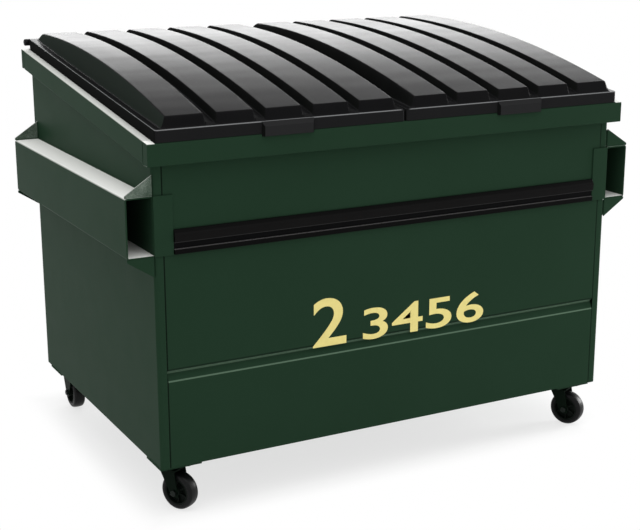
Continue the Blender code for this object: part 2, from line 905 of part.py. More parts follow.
def fork(name, trail, top, top_width, crown_size, crown_wall, has_kingpin):
    """A pressed frame: crown plate and two legs, bored for the axle and, if it swivels, for the kingpin."""
    crown, legs = fork_meshes(name, trail, top, top_width, crown_size, crown_wall)
    made = add_object(name, crown, dark_frame)
    leg_helper = add_helper(f"{name}_legs", legs)
    bore_length = fork_outer_width + 2 * overrun
    axle_centre = (0, -trail, wheel_radius)
    bores = [round_mesh("axle_bore", axle_bore_radius, bore_length, ALONG_X, axle_centre)]
    if has_kingpin:
        centre = (0, 0, top + crown_wall / 2)
        depth = crown_wall + 2 * overrun
        bores.append(round_mesh("kingpin_bore", kingpin_bore_radius, depth, Matrix(), centre))
    bore_helper = add_helper(f"{name}_bores", joined_mesh(f"{name}_bores", bores))
    combine(made, leg_helper, "UNION")
    combine(made, bore_helper, "DIFFERENCE")
    return made, leg_helper, bore_helper


def caster_pad(x, y, name):
    """The thick plate under a corner of the body that the caster is bolted to."""
    low = (x - pad_width / 2, y - pad_depth / 2, pad_top - pad_thickness)
    high = (x + pad_width / 2, y + pad_depth / 2, pad_top)
    add_object(name, box_mesh(name, low, high), painted)


def swivel_caster(prefix, x, y, turn):
    """Plate and race stay with the body; the fork turns on the kingpin and carries the wheel."""
    low = (x - plate_width / 2, y - plate_length / 2, plate_bottom)
    high = (x + plate_width / 2, y + plate_length / 2, plate_top)
    add_object(f"{prefix}_caster_plate", box_mesh("plate", low, high), dark_frame)
    head_top = crown_low - gap
    head_bottom = head_top - kingpin_head_height
    profile = [
        (0, race_top),
        (race_radius, race_top),
        (race_radius, race_bottom),
        (kingpin_radius, race_bottom),
        (kingpin_radius, head_top),
        (kingpin_head_radius, head_top),
        (kingpin_head_radius, head_bottom),
        (0, head_bottom),
    ]
    race = turned(f"{prefix}_swivel_race", profile, dark_frame, round_sides)
    race.location = (x, y, 0)
    kingpin = pivot(f"{prefix}_kingpin", (x, y, 0), turn)
    size = (fork_outer_width, crown_length)
    name = f"{prefix}_fork"
    pieces = fork(name, caster_trail, crown_low, leg_top_width, size, crown_thickness, True)
    for one in pieces:
        one.parent = kingpin
    centre = pivot(f"{prefix}_axle_place", (0, -caster_trail, wheel_radius), parent=kingpin)
    axle(prefix, centre)
    wheel(prefix, centre)


def rigid_caster(prefix, x, y):
    """Plate and legs are one pressed frame, so the wheel keeps its direction."""
    base = pivot(f"{prefix}_caster_base", (x, y, 0))
    size = (plate_width, plate_length)
    name = f"{prefix}_caster_frame"
    pieces = fork(name, 0, plate_bottom, plate_length, size, plate_thickness, False)
    for one in pieces:
        one.parent = base
    centre = pivot(f"{prefix}_axle_place", (0, 0, wheel_radius), parent=base)
    axle(prefix, centre)
    wheel(prefix, centre)


caster_pad(left_pad_x, front_caster_y, "front_left_caster_pad")
caster_pad(right_pad_x, front_caster_y, "front_right_caster_pad")
caster_pad(left_pad_x, rear_caster_y, "rear_left_caster_pad")
caster_pad(right_pad_x, rear_caster_y, "rear_right_caster_pad")
swivel_caster("front_left", front_left_kingpin_inset - side_x, front_caster_y, front_left_turn)
swivel_caster("front_right", side_x - front_right_kingpin_inset, front_caster_y, front_right_turn)
rigid_caster("rear_left", left_pad_x, rear_caster_y)
rigid_caster("rear_right", right_pad_x, rear_caster_y)
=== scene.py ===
"""A green steel dumpster on casters with two ribbed black lids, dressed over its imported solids.

Lengths are in metres. X runs along the front, the front faces -Y, and the wheels stand on z = 0.
"""

import math

import bmesh
import bpy
from mathutils import Matrix, Vector


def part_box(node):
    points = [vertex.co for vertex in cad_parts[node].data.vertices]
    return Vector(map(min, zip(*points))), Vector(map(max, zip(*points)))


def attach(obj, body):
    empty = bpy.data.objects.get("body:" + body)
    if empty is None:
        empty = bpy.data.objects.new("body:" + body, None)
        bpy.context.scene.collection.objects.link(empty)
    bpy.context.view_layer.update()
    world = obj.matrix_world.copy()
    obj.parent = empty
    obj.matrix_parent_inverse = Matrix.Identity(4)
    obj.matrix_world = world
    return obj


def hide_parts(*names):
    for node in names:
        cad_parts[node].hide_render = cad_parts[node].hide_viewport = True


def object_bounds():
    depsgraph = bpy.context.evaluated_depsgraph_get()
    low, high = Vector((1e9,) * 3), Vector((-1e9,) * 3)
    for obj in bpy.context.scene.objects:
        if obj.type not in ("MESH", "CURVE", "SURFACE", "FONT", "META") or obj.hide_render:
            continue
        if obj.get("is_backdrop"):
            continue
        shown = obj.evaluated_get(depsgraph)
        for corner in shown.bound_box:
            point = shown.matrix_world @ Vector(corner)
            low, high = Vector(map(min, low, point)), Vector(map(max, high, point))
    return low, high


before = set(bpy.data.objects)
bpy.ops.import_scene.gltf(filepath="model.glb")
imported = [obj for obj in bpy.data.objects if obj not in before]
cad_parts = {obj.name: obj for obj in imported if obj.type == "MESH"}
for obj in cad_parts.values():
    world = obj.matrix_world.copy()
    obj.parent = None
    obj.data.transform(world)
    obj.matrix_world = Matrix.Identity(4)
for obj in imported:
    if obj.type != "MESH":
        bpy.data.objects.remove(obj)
cad_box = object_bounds()
scene = bpy.context.scene
scene.view_settings.view_transform = "Standard"

# Studio: a plain pale floor under soft, even light, seen from the photograph's place.
# The world is white to the camera, to gloss and to glass, and a lower, plainer fill to the rest.


def linear(code):
    """An sRGB hex colour as linear red, green, blue and alpha."""
    channels = [int(code[start : start + 2], 16) / 255 for start in (1, 3, 5)]
    return tuple(c / 12.92 if c <= 0.04045 else ((c + 0.055) / 1.055) ** 2.4 for c in channels) + (1.0,)


def feed(tree, node, feeds):
    """Sets a node's inputs, each to a value, to a hex colour, or to the node or socket that drives it."""
    for key, value in feeds.items():
        if isinstance(value, bpy.types.Node):
            value = next(socket for socket in value.outputs if socket.enabled)
        if isinstance(value, bpy.types.NodeSocket):
            tree.links.new(value, node.inputs[key])
        else:
            node.inputs[key].default_value = linear(value) if isinstance(value, str) else value


def add_node(tree, kind, feeds=None, **settings):
    """A node with its settings, its inputs fed as feed() says."""
    node = tree.nodes.new(kind)
    for name, value in settings.items():
        setattr(node, name, value)
    feed(tree, node, feeds or {})
    return node


def seen_directly(tree):
    """One for rays from the camera, from gloss and through glass, and nothing for all others."""
    rays = add_node(tree, "ShaderNodeLightPath").outputs
    feeds = {0: rays["Is Camera Ray"], 1: rays["Is Glossy Ray"]}
    feeds = {0: add_node(tree, "ShaderNodeMath", feeds, operation="ADD"), 1: rays["Is Transmission Ray"]}
    return add_node(tree, "ShaderNodeMath", feeds, operation="ADD", use_clamp=True)


def added(name, data):
    """A new object in the scene."""
    made = bpy.data.objects.new(name, data)
    scene.collection.objects.link(made)
    return made


studio = bpy.data.worlds.new("studio")
scene.world = studio
studio.use_nodes = True
sky = studio.node_tree
sky.nodes.clear()
fill = add_node(sky, "ShaderNodeBackground", {"Color": "#FFFFFF", "Strength": 0.72})
white = add_node(sky, "ShaderNodeBackground", {"Color": "#FFFFFF", "Strength": 1.0})
both = add_node(sky, "ShaderNodeMixShader", {0: seen_directly(sky), 1: fill, 2: white})
add_node(sky, "ShaderNodeOutputWorld", {"Surface": both})

# Each softbox: its place, what it faces, its width and height, and its power
softboxes = {
    "overhead": ((-0.6, -0.9, 5.0), (0.0, 0.0, 0.6), (5.0, 4.0), 110.0),
    "behind": ((2.6, 6.2, 3.2), (0.0, 0.0, 1.2), (9.0, 2.2), 300.0),
    "right": ((5.0, -0.7, 1.3), (0.7, -0.5, 0.1), (1.5, 1.5), 180.0),
}
for softbox, (place, target, size, watts) in softboxes.items():
    lamp = bpy.data.lights.new(softbox, "AREA")
    lamp.shape = "RECTANGLE"
    lamp.size, lamp.size_y = size
    lamp.energy = watts
    holder = added(softbox, lamp)
    holder.location = place
    holder.rotation_euler = (Vector(target) - Vector(place)).to_track_quat("-Z", "Y").to_euler()
    holder.visible_camera = False

# The camera's place, azimuth, elevation and roll were solved from the body's edges in the photograph
camera_place = (-2.3682, -4.4901, 1.9707)
azimuth, elevation, roll = map(math.radians, (-28.042, 15.128, -0.113))
aimed = Matrix.Rotation(azimuth, 4, "Z") @ Matrix.Rotation(math.pi / 2 - elevation, 4, "X")
lens = bpy.data.cameras.new("camera")
lens.lens = 76.9125
lens.sensor_width = 36.0
lens.clip_end = 300.0
camera = added("camera", lens)
camera.matrix_world = Matrix.Translation(camera_place) @ aimed @ Matrix.Rotation(roll, 4, "Z")
scene.camera = camera


def start_material(name, colour, roughness, metallic=0.0, specular=0.5):
    """A material with its shader's plain sockets set, its node tree, the shader, and Object coordinates."""
    made = bpy.data.materials.new(name)
    made.use_nodes = True
    tree = made.node_tree
    surface = tree.nodes["Principled BSDF"]
    feed(tree, surface, {"Base Color": colour, "Roughness": roughness, "Metallic": metallic})
    feed(tree, surface, {"Specular IOR Level": specular})
    return made, tree, surface, add_node(tree, "ShaderNodeTexCoord").outputs["Object"]


def mottled(tree, place, scale, detail, dark, light, roughness=0.5):
    """Noise, and a colour that goes with it from dark to light."""
    feeds = {"Vector": place, "Scale": scale, "Detail": detail, "Roughness": roughness}
    noise = add_node(tree, "ShaderNodeTexNoise", feeds)
    return noise, add_node(tree, "ShaderNodeMix", {0: noise, 6: dark, 7: light}, data_type="RGBA")


# Floor: matt paint. The camera and gloss see it go over into white a little outside the footprint,
# and under the object part of the way only, so that the shade there can be seen.
floor_finish, tree, surface, place = start_material("matt_floor_paint", "#F4F4F4", 0.9, specular=0.1)
_, tone = mottled(tree, place, 0.4, 2.0, "#F2F2F2", "#F7F7F7")
feed(tree, surface, {"Base Color": tone})
footprint = {"X": 0.91, "Y": 0.635}
plan = add_node(tree, "ShaderNodeSeparateXYZ", {0: place}).outputs
outside = []
for axis, reach in footprint.items():
    away = add_node(tree, "ShaderNodeMath", {0: plan[axis]}, operation="ABSOLUTE")
    outside.append(add_node(tree, "ShaderNodeMath", {0: away, 1: reach}, operation="SUBTRACT"))
margin = add_node(tree, "ShaderNodeMath", {0: outside[0], 1: outside[1]}, operation="MAXIMUM")
border = {"Value": margin, "From Min": -0.04, "From Max": 0.09, "To Min": 0.70, "To Max": 1.0}
whiter = add_node(tree, "ShaderNodeMapRange", border, interpolation_type="SMOOTHSTEP")
whitened = add_node(tree, "ShaderNodeMath", {0: seen_directly(tree), 1: whiter}, operation="MULTIPLY")
white = add_node(tree, "ShaderNodeEmission", {"Color": "#FFFFFF", "Strength": 1.0})
both = add_node(tree, "ShaderNodeMixShader", {0: whitened, 1: surface, 2: white})
feed(tree, tree.nodes["Material Output"], {"Surface": both})
bm = bmesh.new()
bmesh.ops.create_circle(bm, cap_ends=True, segments=96, radius=60.0)
floor_mesh = bpy.data.meshes.new("floor")
bm.to_mesh(floor_mesh)
bm.free()
floor_mesh.materials.append(floor_finish)
floor = added("floor", floor_mesh)
floor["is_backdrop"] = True

# Body walls: 3 mm sheet steel, bent on a press and sprayed with green enamel.
# The side sheets wrap the corners in narrow flanges, and the end sheets carry a pressed crimp.


def within_band(tree, along, middle, half):
    """One in a band about a place along an axis, and nothing outside it, with soft borders."""
    offset = add_node(tree, "ShaderNodeMath", {0: along, 1: middle}, operation="SUBTRACT")
    away = add_node(tree, "ShaderNodeMath", {0: offset}, operation="ABSOLUTE")
    border = {"Value": away, "From Min": half * 0.8, "From Max": half * 1.25, "To Min": 1.0, "To Max": 0.0}
    return add_node(tree, "ShaderNodeMapRange", border)


def looking_up(tree, low, high):
    """How far a face looks up: nothing where its normal's Z is below low, and one where it is above high."""
    normal = tree.nodes["Texture Coordinate"].outputs["Normal"]
    upward = add_node(tree, "ShaderNodeSeparateXYZ", {0: normal}).outputs["Z"]
    return add_node(tree, "ShaderNodeMapRange", {"Value": upward, "From Min": low, "From Max": high})


def rippled(tree, place, scale, detail, height, below=None):
    """Noise as relief of the given height, on top of other relief where there is any below."""
    noise = add_node(tree, "ShaderNodeTexNoise", {"Vector": place, "Scale": scale, "Detail": detail})
    feeds = {"Height": noise, "Distance": height}
    if below:
        feeds["Normal"] = below
    return add_node(tree, "ShaderNodeBump", feeds)


def sprayed_enamel(
    name,
    waviness,
    colour="#23392A",
    deeper="#1F3425",
    roughness=0.42,
    dust_and_sheen=0.0,
    wear=0.0,
    cover_half=0.0,
    bands=(),
):
    """Alkyd enamel sprayed on sheet: even colour, satin gloss, orange peel, and sheet that isn't quite flat.

    Dust is the share of pale dust on faces that look up, and of the painted sheen that it also stands for,
    kept off within cover_half of the middle. Wear is the share of dull grey scuffs. Bands are (axis, place,
    half width, colour, share) of painted highlights and painted shade along edges, folds and seams, with the
    X axis measured from the middle on both sides.
    """
    made, tree, surface, place = start_material(name, colour, roughness, specular=0.015)
    _, coat = mottled(tree, place, 2.2, 3.0, deeper, colour)
    haze = add_node(tree, "ShaderNodeTexNoise", {"Vector": place, "Scale": 9.0, "Detail": 4.0})
    dulling = {"Value": haze, "To Min": roughness - 0.05, "To Max": roughness + 0.06}
    dullness = add_node(tree, "ShaderNodeMapRange", dulling)
    if wear:
        # Scuffs: patches of fine mottling about 3 mm across, where metal and grit have rubbed the gloss away
        patches = add_node(tree, "ShaderNodeTexNoise", {"Vector": place, "Scale": 14.0, "Detail": 3.0})
        grit = add_node(tree, "ShaderNodeTexNoise", {"Vector": place, "Scale": 340.0, "Detail": 3.0})
        grey_mask = add_node(tree, "ShaderNodeMath", {0: patches, 1: grit}, operation="MULTIPLY")
        scuffing = {"Value": grey_mask, "From Min": 0.12, "From Max": 0.42, "To Max": wear}
        scuffed = add_node(tree, "ShaderNodeMapRange", scuffing)
        coat = add_node(tree, "ShaderNodeMix", {0: scuffed, 6: coat, 7: "#A3AFA4"}, data_type="RGBA")
    axes = add_node(tree, "ShaderNodeSeparateXYZ", {0: place}).outputs
    aside = add_node(tree, "ShaderNodeMath", {0: axes["X"]}, operation="ABSOLUTE")
    # Bands of painted highlight and painted shade, each along its axis
    for axis, middle, half_width, paint, share in bands:
        mask = within_band(tree, aside if axis == "X" else axes["Z"], middle, half_width)
        amount = add_node(tree, "ShaderNodeMath", {0: mask, 1: share}, operation="MULTIPLY")
        coat = add_node(tree, "ShaderNodeMix", {0: amount, 6: coat, 7: paint}, data_type="RGBA")
    if dust_and_sheen:
        # Pale dust with a painted sheen: lies on what looks up, in a fine speckle about 2 mm across
        speckle = add_node(tree, "ShaderNodeTexNoise", {"Vector": place, "Scale": 500.0, "Detail": 2.0})
        thickness = {"Value": speckle, "To Min": dust_and_sheen * 0.92, "To Max": min(1.0, dust_and_sheen * 1.04)}
        cover = add_node(tree, "ShaderNodeMapRange", thickness)
        facing = looking_up(tree, 0.4, 0.97)
        pale_and_lit = add_node(tree, "ShaderNodeMath", {0: facing, 1: cover}, operation="MULTIPLY")
        if cover_half:
            open_air = add_node(tree, "ShaderNodeMath", {0: aside, 1: cover_half}, operation="GREATER_THAN")
            pale_and_lit = add_node(tree, "ShaderNodeMath", {0: pale_and_lit, 1: open_air}, operation="MULTIPLY")
        coat = add_node(tree, "ShaderNodeMix", {0: pale_and_lit, 6: coat, 7: "#F4F5F1"}, data_type="RGBA")
        dulled = add_node(tree, "ShaderNodeMapRange", {"Value": pale_and_lit, "To Min": roughness, "To Max": 0.85})
        dullness = add_node(tree, "ShaderNodeMath", {0: dullness, 1: dulled}, operation="MAXIMUM")
    # Orange peel, in waves of about 4 mm less than a tenth of a millimetre high, on the uneven sheet
    skin = rippled(tree, place, 250.0, 1.5, 0.00009, rippled(tree, place, 3.0, 1.0, waviness))
    feed(tree, surface, {"Base Color": coat, "Roughness": dullness, "Normal": skin})
    return made


body_enamel = sprayed_enamel("green_sprayed_enamel", 0.0012)
# Pocket tops: pale dust on what looks up, which also paints in the bright sheen these faces catch
ledge_enamel = sprayed_enamel("dusty_sheen_painted_green_enamel", 0.0006, dust_and_sheen=0.98)
scuffed_and_sheened_enamel = sprayed_enamel("scuffed_and_sheened_green_enamel", 0.0003, roughness=0.5, dust_and_sheen=0.5, wear=0.55)


def ease_edges(bm, offset, angle, segments=2, clamp=False, edges=None):
    """Rounds the edges whose faces meet at more than an angle, given in degrees."""
    sharp = [edge for edge in edges or bm.edges if edge.calc_face_angle(0) > math.radians(angle)]
    sizes = {"offset": offset, "segments": segments, "profile": 0.5, "clamp_overlap": clamp}
    bmesh.ops.bevel(bm, geom=sharp, affect="EDGES", **sizes)


def made_plain(holder):
    """The plain mesh of an object with its modifiers applied, in place of the object."""
    mesh = bpy.data.meshes.new_from_object(holder.evaluated_get(bpy.context.evaluated_depsgraph_get()))
    bpy.data.objects.remove(holder)
    return mesh


def finished(bm, ease=0.0):
    """Closes a mesh: faces out, cut edges eased, and smooth shading that keeps flat faces flat."""
    bmesh.ops.recalc_face_normals(bm, faces=bm.faces)
    if ease:
        ease_edges(bm, ease, 50)
    rough = bpy.data.meshes.new("rough")
    bm.to_mesh(rough)
    bm.free()
    rough.shade_smooth()
    rough.set_sharp_from_angle(angle=math.radians(30))
    holder = added("rough", rough)
    weighted = holder.modifiers.new("weighted", "WEIGHTED_NORMAL")
    weighted.keep_sharp = True
    mesh = made_plain(holder)
    bpy.data.meshes.remove(rough)
    return mesh


def fit(name, mesh, finish, body, slot, *nodes):
    """Adds a mesh to the scene on its body, in place of the nodes that it stands for."""
    mesh.materials.clear()
    mesh.materials.append(finish)
    made = added(name, mesh)
    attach(made, body)
    if nodes:
        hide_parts(*nodes)
    return made


def join_rings(bm, first, second):
    """A band of faces between two rings of vertices, with triangles where they share a point."""
    for i in range(len(first)):
        j = (i + 1) % len(first)
        corners = list(dict.fromkeys((first[i], first[j], second[j], second[i])))
        if len(corners) > 2:
            bm.faces.new(corners)


def bent_line(corners, wall, bend, steps=5):
    """A bent sheet in section: the drawn line with its bends, and the line one wall to its left."""
    drawn, other = [], []
    points = [Vector(corner) for corner in corners]
    for index, here in enumerate(points):
        before = (here - points[index - 1]).normalized() if index else None
        after = (points[index + 1] - here).normalized() if index < len(points) - 1 else None
        along = after if before is None else before
        left = Vector((-along.y, along.x))
        if before is None or after is None:
            drawn.append(here)
            other.append(here + left * wall)
            continue
        turn = math.atan2(before.x * after.y - before.y * after.x, before.dot(after))
        side = 1 if turn > 0 else -1
        reach = bend + wall if turn > 0 else bend
        centre = here - before * reach * math.tan(abs(turn) / 2) + left * side * reach
        for step in range(steps + 1):
            normal = Matrix.Rotation(turn * step / steps, 2) @ left
            drawn.append(centre - normal * side * reach)
            other.append(drawn[-1] + normal * wall)
    return drawn, other


def bent_sheet(corners, wall, bend, place, stations, ease=0.0006):
    """A sheet bent to a section and run along stations; place gives the point for (u, v, station)."""
    drawn, other = bent_line(corners, wall, bend)
    ring = drawn + other[::-1]
    last = len(ring) - 1
    bm = bmesh.new()
    rows = [[bm.verts.new(place(point.x, point.y, station)) for point in ring] for station in stations]
    for first, second in zip(rows, rows[1:]):
        join_rings(bm, first, second)
    for row in (rows[0], rows[-1]):
        for i in range(len(drawn) - 1):
            bm.faces.new((row[i], row[i + 1], row[last - 1 - i], row[last - i]))
    return finished(bm, ease=ease)


wall = 0.003
gap = 0.0003
side_low, side_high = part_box("right_side_panel")
front_y, side_x, body_bottom = side_low.y, side_high.x, side_low.z
rear_y = -front_y
panel_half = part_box("front_panel")[1].x
rim_front_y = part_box("front_rim")[0].y
rim_side_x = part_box("front_rim")[1].x
rim_rear_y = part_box("rear_rim")[1].y
rim_front_height = 1.247
rim_slope = math.tan(math.radians(7.24))


def rim_top(y):
    """Height of the rim's upper face, which rises to the rear."""
    return rim_front_height + (y - rim_front_y) * rim_slope


def panel_top(y):
    """Height of the side and end sheets' upper edges, just under the rim."""
    return rim_top(y) - wall - 2 * gap


# The crimp's corners: height over the body's bottom, and depth
crimp_line = ((0.297, 0.0), (0.328, 0.013), (0.337, 0.0))
crimp_low, crimp_high = body_bottom + crimp_line[0][0], body_bottom + crimp_line[2][0]
# Bands painted on the end sheets: a painted highlight along the crimp's lower ridge and along its fold,
# painted shade just above the fold, and painted shade in the seams at the sheet's ends
ridge_highlight = ("Z", crimp_low + 0.0015, 0.0024, "#6E8672", 0.55)
fold_highlight = ("Z", crimp_high - 0.0084, 0.0044, "#6E8672", 0.46)
fold_shade = ("Z", crimp_high + 0.0008, 0.0034, "#0E1611", 0.5)
seam_shade = ("X", panel_half, 0.0032, "#0C130E", 0.9)
crimp_bands = (ridge_highlight, fold_highlight, fold_shade, seam_shade)
crimped_enamel = sprayed_enamel("crimp_light_and_shade_green_enamel", 0.0012, bands=crimp_bands)
bottom_flange = 0.060
corner_flange = 0.031
corner_bend = 0.009
sheet_bend = 0.0015
seam_ease = 0.0014
for end, outer_y, inward in (("front", front_y, 1), ("rear", rear_y, -1)):
    section = [(outer_y + inward * bottom_flange, body_bottom), (outer_y, body_bottom)]
    section += [(outer_y + inward * depth, body_bottom + rise) for rise, depth in crimp_line]
    section += [(outer_y, panel_top(outer_y))]
    stations = (-panel_half, panel_half)
    sheet = bent_sheet(section[::-inward], wall, sheet_bend, lambda u, v, x: (x, u, v), stations, seam_ease)
    fit(f"{end}_wall_sheet", sheet, crimped_enamel, "container", "green_paint", f"{end}_panel")

sides = {"left": -1, "right": 1}
for side_name, side in sides.items():
    seam_x = side_x - corner_flange
    section = [(seam_x, front_y), (side_x, front_y), (side_x, rear_y), (seam_x, rear_y)]
    sheet = bent_sheet(
        section,
        wall,
        corner_bend,
        lambda u, v, share: (side * u, v, body_bottom + share * (panel_top(v) - body_bottom)),
        (0.0, 1.0),
        seam_ease,
    )
    fit(f"{side_name}_wall_sheet", sheet, body_enamel, "container", "green_paint", f"{side_name}_side_panel")

# The floor keeps its solid, under enamel scuffed by what is thrown in
floor_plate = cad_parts["floor_plate"].data
floor_plate.materials.clear()
floor_plate.materials.append(scuffed_and_sheened_enamel)

# Rim: 3 mm sheet bent to channels and welded round the outside of the mouth.
# The front and rear channels run the whole width and are closed at their ends with small plates.


def prism(bm, outline, ends, ease=0.0):
    """An outline of (y, z) points run between two x places, closed, with its edges eased."""
    rows = [[bm.verts.new((x, y, z)) for y, z in outline] for x in ends]
    bm.faces.new(rows[0][::-1])
    bm.faces.new(rows[1])
    join_rings(bm, *rows)
    if ease:
        edges = dict.fromkeys(edge for vert in rows[0] + rows[1] for edge in vert.link_edges)
        ease_edges(bm, ease, 25, edges=edges)


rim_height = 0.072
side_rim_lip = 0.019
end_plate_set_in = 0.0004
# The lids cover the end channels' ledges within this distance of the middle
covered_half = 0.8885
# Rim tops: pale dust with a painted sheen, less of it on the side rims
covered_enamel = sprayed_enamel("covered_green_enamel", 0.0006, dust_and_sheen=0.98, cover_half=covered_half)
side_rim_enamel = sprayed_enamel("thinly_dusty_sheen_painted_green_enamel", 0.0006, dust_and_sheen=0.66)
for end, outward, wall_y, face_y in (("front", -1, front_y, rim_front_y), ("rear", 1, rear_y, rim_rear_y)):
    upper_y, lower_y = wall_y - outward * wall, wall_y + outward * gap
    low_z = rim_top(face_y) - rim_height
    section = [(lower_y, low_z), (face_y, low_z), (face_y, rim_top(face_y)), (upper_y, rim_top(upper_y))]
    stations = (-rim_side_x, rim_side_x)
    bm = bmesh.new()
    bm.from_mesh(bent_sheet(section[::outward], wall, sheet_bend, lambda u, v, x: (x, u, v), stations))
    inset = wall * 0.8
    plate_y = face_y - outward * inset
    plate = [(lower_y, low_z + inset), (plate_y, low_z + inset)]
    plate += [(plate_y, rim_top(face_y) - inset), (lower_y, rim_top(lower_y) - inset)]
    for side in (-1, 1):
        prism(bm, plate, (side * (rim_side_x - end_plate_set_in), side * (rim_side_x - wall)))
    fit(f"{end}_rim_channel", finished(bm), covered_enamel, "container", "green_paint", f"{end}_rim")

for side_name, side in sides.items():
    section = [(side_x + gap, -rim_height), (rim_side_x, -rim_height), (rim_side_x, 0.0)]
    section += [(side_x - side_rim_lip, 0.0)]
    stations = (front_y + wall + gap, rear_y - wall - gap)
    channel = bent_sheet(section, wall, sheet_bend, lambda u, v, y: (side * u, y, rim_top(y) + v), stations)
    fit(f"{side_name}_rim_channel", channel, side_rim_enamel, "container", "green_paint", f"{side_name}_rim")

# Fork pockets: 5 mm plate bent to channels and welded to the sides, open at both ends for the truck's forks.
# Gussets stand at their corners, and a strap covers each front corner at the same height.

pocket_wall = 0.005
pocket_bend = 0.003
pocket_ease = 0.0008
for side_name, side in sides.items():
    node = f"{side_name}_fork_pocket"
    low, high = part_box(node)
    inner_x, outer_x = sorted((abs(low.x), abs(high.x)))
    section = [(inner_x, low.z), (outer_x, low.z), (outer_x, high.z), (inner_x, high.z)]
    channel = bent_sheet(
        section, pocket_wall, pocket_bend, lambda u, v, y: (side * u, y, v), (low.y, high.y), pocket_ease
    )
    fit(f"{side_name}_pocket_channel", channel, ledge_enamel, "container", "green_paint", node)


def eased_copy(node, ease, segments=2):
    """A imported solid's mesh with its loose triangles merged and its sharp edges eased."""
    bm = bmesh.new()
    bm.from_mesh(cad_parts[node].data)
    bmesh.ops.remove_doubles(bm, verts=bm.verts, dist=0.00002)
    bmesh.ops.dissolve_limit(bm, angle_limit=math.radians(0.5), verts=bm.verts, edges=bm.edges)
    ease_edges(bm, ease, 30, segments, clamp=True)
    return finished(bm)


gusset_ease = 0.0009
for side_name in sides:
    for end in ("front", "rear"):
        for level in ("upper", "lower"):
            node = f"{side_name}_{end}_{level}_gusset"
            # On the left upper gussets the scuffs also paint in the lighter sheen of their faces
            finish = scuffed_and_sheened_enamel if node.startswith("left") and level == "upper" else body_enamel
            fit(f"{node}_plate", eased_copy(node, gusset_ease), finish, "container", "green_paint", node)

strap_clearance = 0.0006
strap_ease = 0.0016
for side_name, side in sides.items():
    node = f"{side_name}_corner_strap"
    low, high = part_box(node)
    inner_x = min(abs(low.x), abs(high.x))
    bm = bmesh.new()
    outline = [(low.y, low.z), (high.y, low.z), (high.y, high.z), (low.y, high.z)]
    prism(bm, outline, (side * inner_x, side * (side_x - strap_clearance)))
    strap = finished(bm, ease=strap_ease)
    fit(f"{side_name}_strap_plate", strap, body_enamel, "container", "green_paint", node)

# Bumper rail: one black rubber extrusion across the front, between the straps.
# Its rounded bar takes the knocks, and a lip runs below it past a deep groove.

# Extruded rubber: matt black with fine lines along its length from the die, and a faint grey bloom.
# The bar's lower edge carries a painted highlight, painted shade lies in the groove and along both borders,
# and the lip carries pale dust with a painted highlight.
rail_low, rail_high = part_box("front_bumper_rail")
lip_height, groove_height = 0.017, 0.021
lip_top = rail_low.z + lip_height
bar_low = lip_top + groove_height
rail_rubber, tree, surface, place = start_material("extruded_rubber", "#0E0E0E", 0.36, specular=0.04)
_, colour = mottled(tree, place, 6.0, 4.0, "#0B0B0B", "#121111")
level = add_node(tree, "ShaderNodeSeparateXYZ", {0: place}).outputs["Z"]
# Bands of painted shade and painted highlight along the rail: the height of each one's middle, half its
# width, and its colour
rail_light_and_shade = (
    # Painted shade along the top border
    (rail_high.z - 0.004, 0.0065, "#050505"),
    # Painted highlight along the bar's lower edge
    (bar_low + 0.0004, 0.0017, "#2C2C2C"),
    # Painted shade in the groove
    (lip_top + 0.0085, 0.0095, "#050506"),
    # Painted shade along the lower border, on the lip's front
    (rail_low.z + 0.006, 0.0085, "#060606"),
)
for middle, half_width, paint in rail_light_and_shade:
    mask = within_band(tree, level, middle, half_width)
    colour = add_node(tree, "ShaderNodeMix", {0: mask, 6: colour, 7: paint}, data_type="RGBA")
# A painted highlight, with pale dust, on the lip's face that looks up
lip_light_top = lip_top + 0.002
below_bar = add_node(tree, "ShaderNodeMath", {0: level, 1: lip_light_top}, operation="LESS_THAN")
pale_and_lit = add_node(tree, "ShaderNodeMath", {0: looking_up(tree, 0.25, 0.8), 1: below_bar}, operation="MULTIPLY")
lip_lit = add_node(tree, "ShaderNodeMix", {0: pale_and_lit, 6: colour, 7: "#555454"}, data_type="RGBA")
stretched = add_node(tree, "ShaderNodeMapping", {"Vector": place, "Scale": (1.0, 420.0, 420.0)})
feed(tree, surface, {"Base Color": lip_lit, "Normal": rippled(tree, stretched, 5.0, 2.0, 0.00012)})
extrusion = eased_copy("front_bumper_rail", 0.0012, segments=3)
fit("front_bumper_extrusion", extrusion, rail_rubber, "container", "rail_rubber", "front_bumper_rail")

# Lids: two alike, each one rotational moulding of black polyethylene with five crowned ribs.
# A skirt round the edge stands on the rim, the lip in front is the handle, and eyes behind hold the rod.

# Moulded polyethylene: waxy black with a fine grain from the mould, slow waves along the ribs that break
# the sheen into bands, and hazy patches from handling and rain. A vertex attribute makes it grey: a painted
# highlight along the flange's rounded outer edge, and a lighter share on the front skirt and the handle.
polyethylene, tree, surface, place = start_material("moulded_polyethylene", "#101011", 0.36, specular=0.03)
haze, tone = mottled(tree, place, 4.5, 5.0, "#0C0C0D", "#131314", 0.6)
grey_mask = add_node(tree, "ShaderNodeAttribute", attribute_name="grey_share").outputs["Fac"]
greyed = add_node(tree, "ShaderNodeMix", {0: grey_mask, 6: tone, 7: "#747576"}, data_type="RGBA")
gloss = add_node(tree, "ShaderNodeMapRange", {"Value": haze, "To Min": 0.25, "To Max": 0.36})
stretched = add_node(tree, "ShaderNodeMapping", {"Vector": place, "Scale": (1.2, 9.0, 1.0)})
grained = rippled(tree, place, 700.0, 2.0, 0.00008, rippled(tree, stretched, 1.0, 1.0, 0.0016))
feed(tree, surface, {"Base Color": greyed, "Roughness": gloss, "Normal": grained})

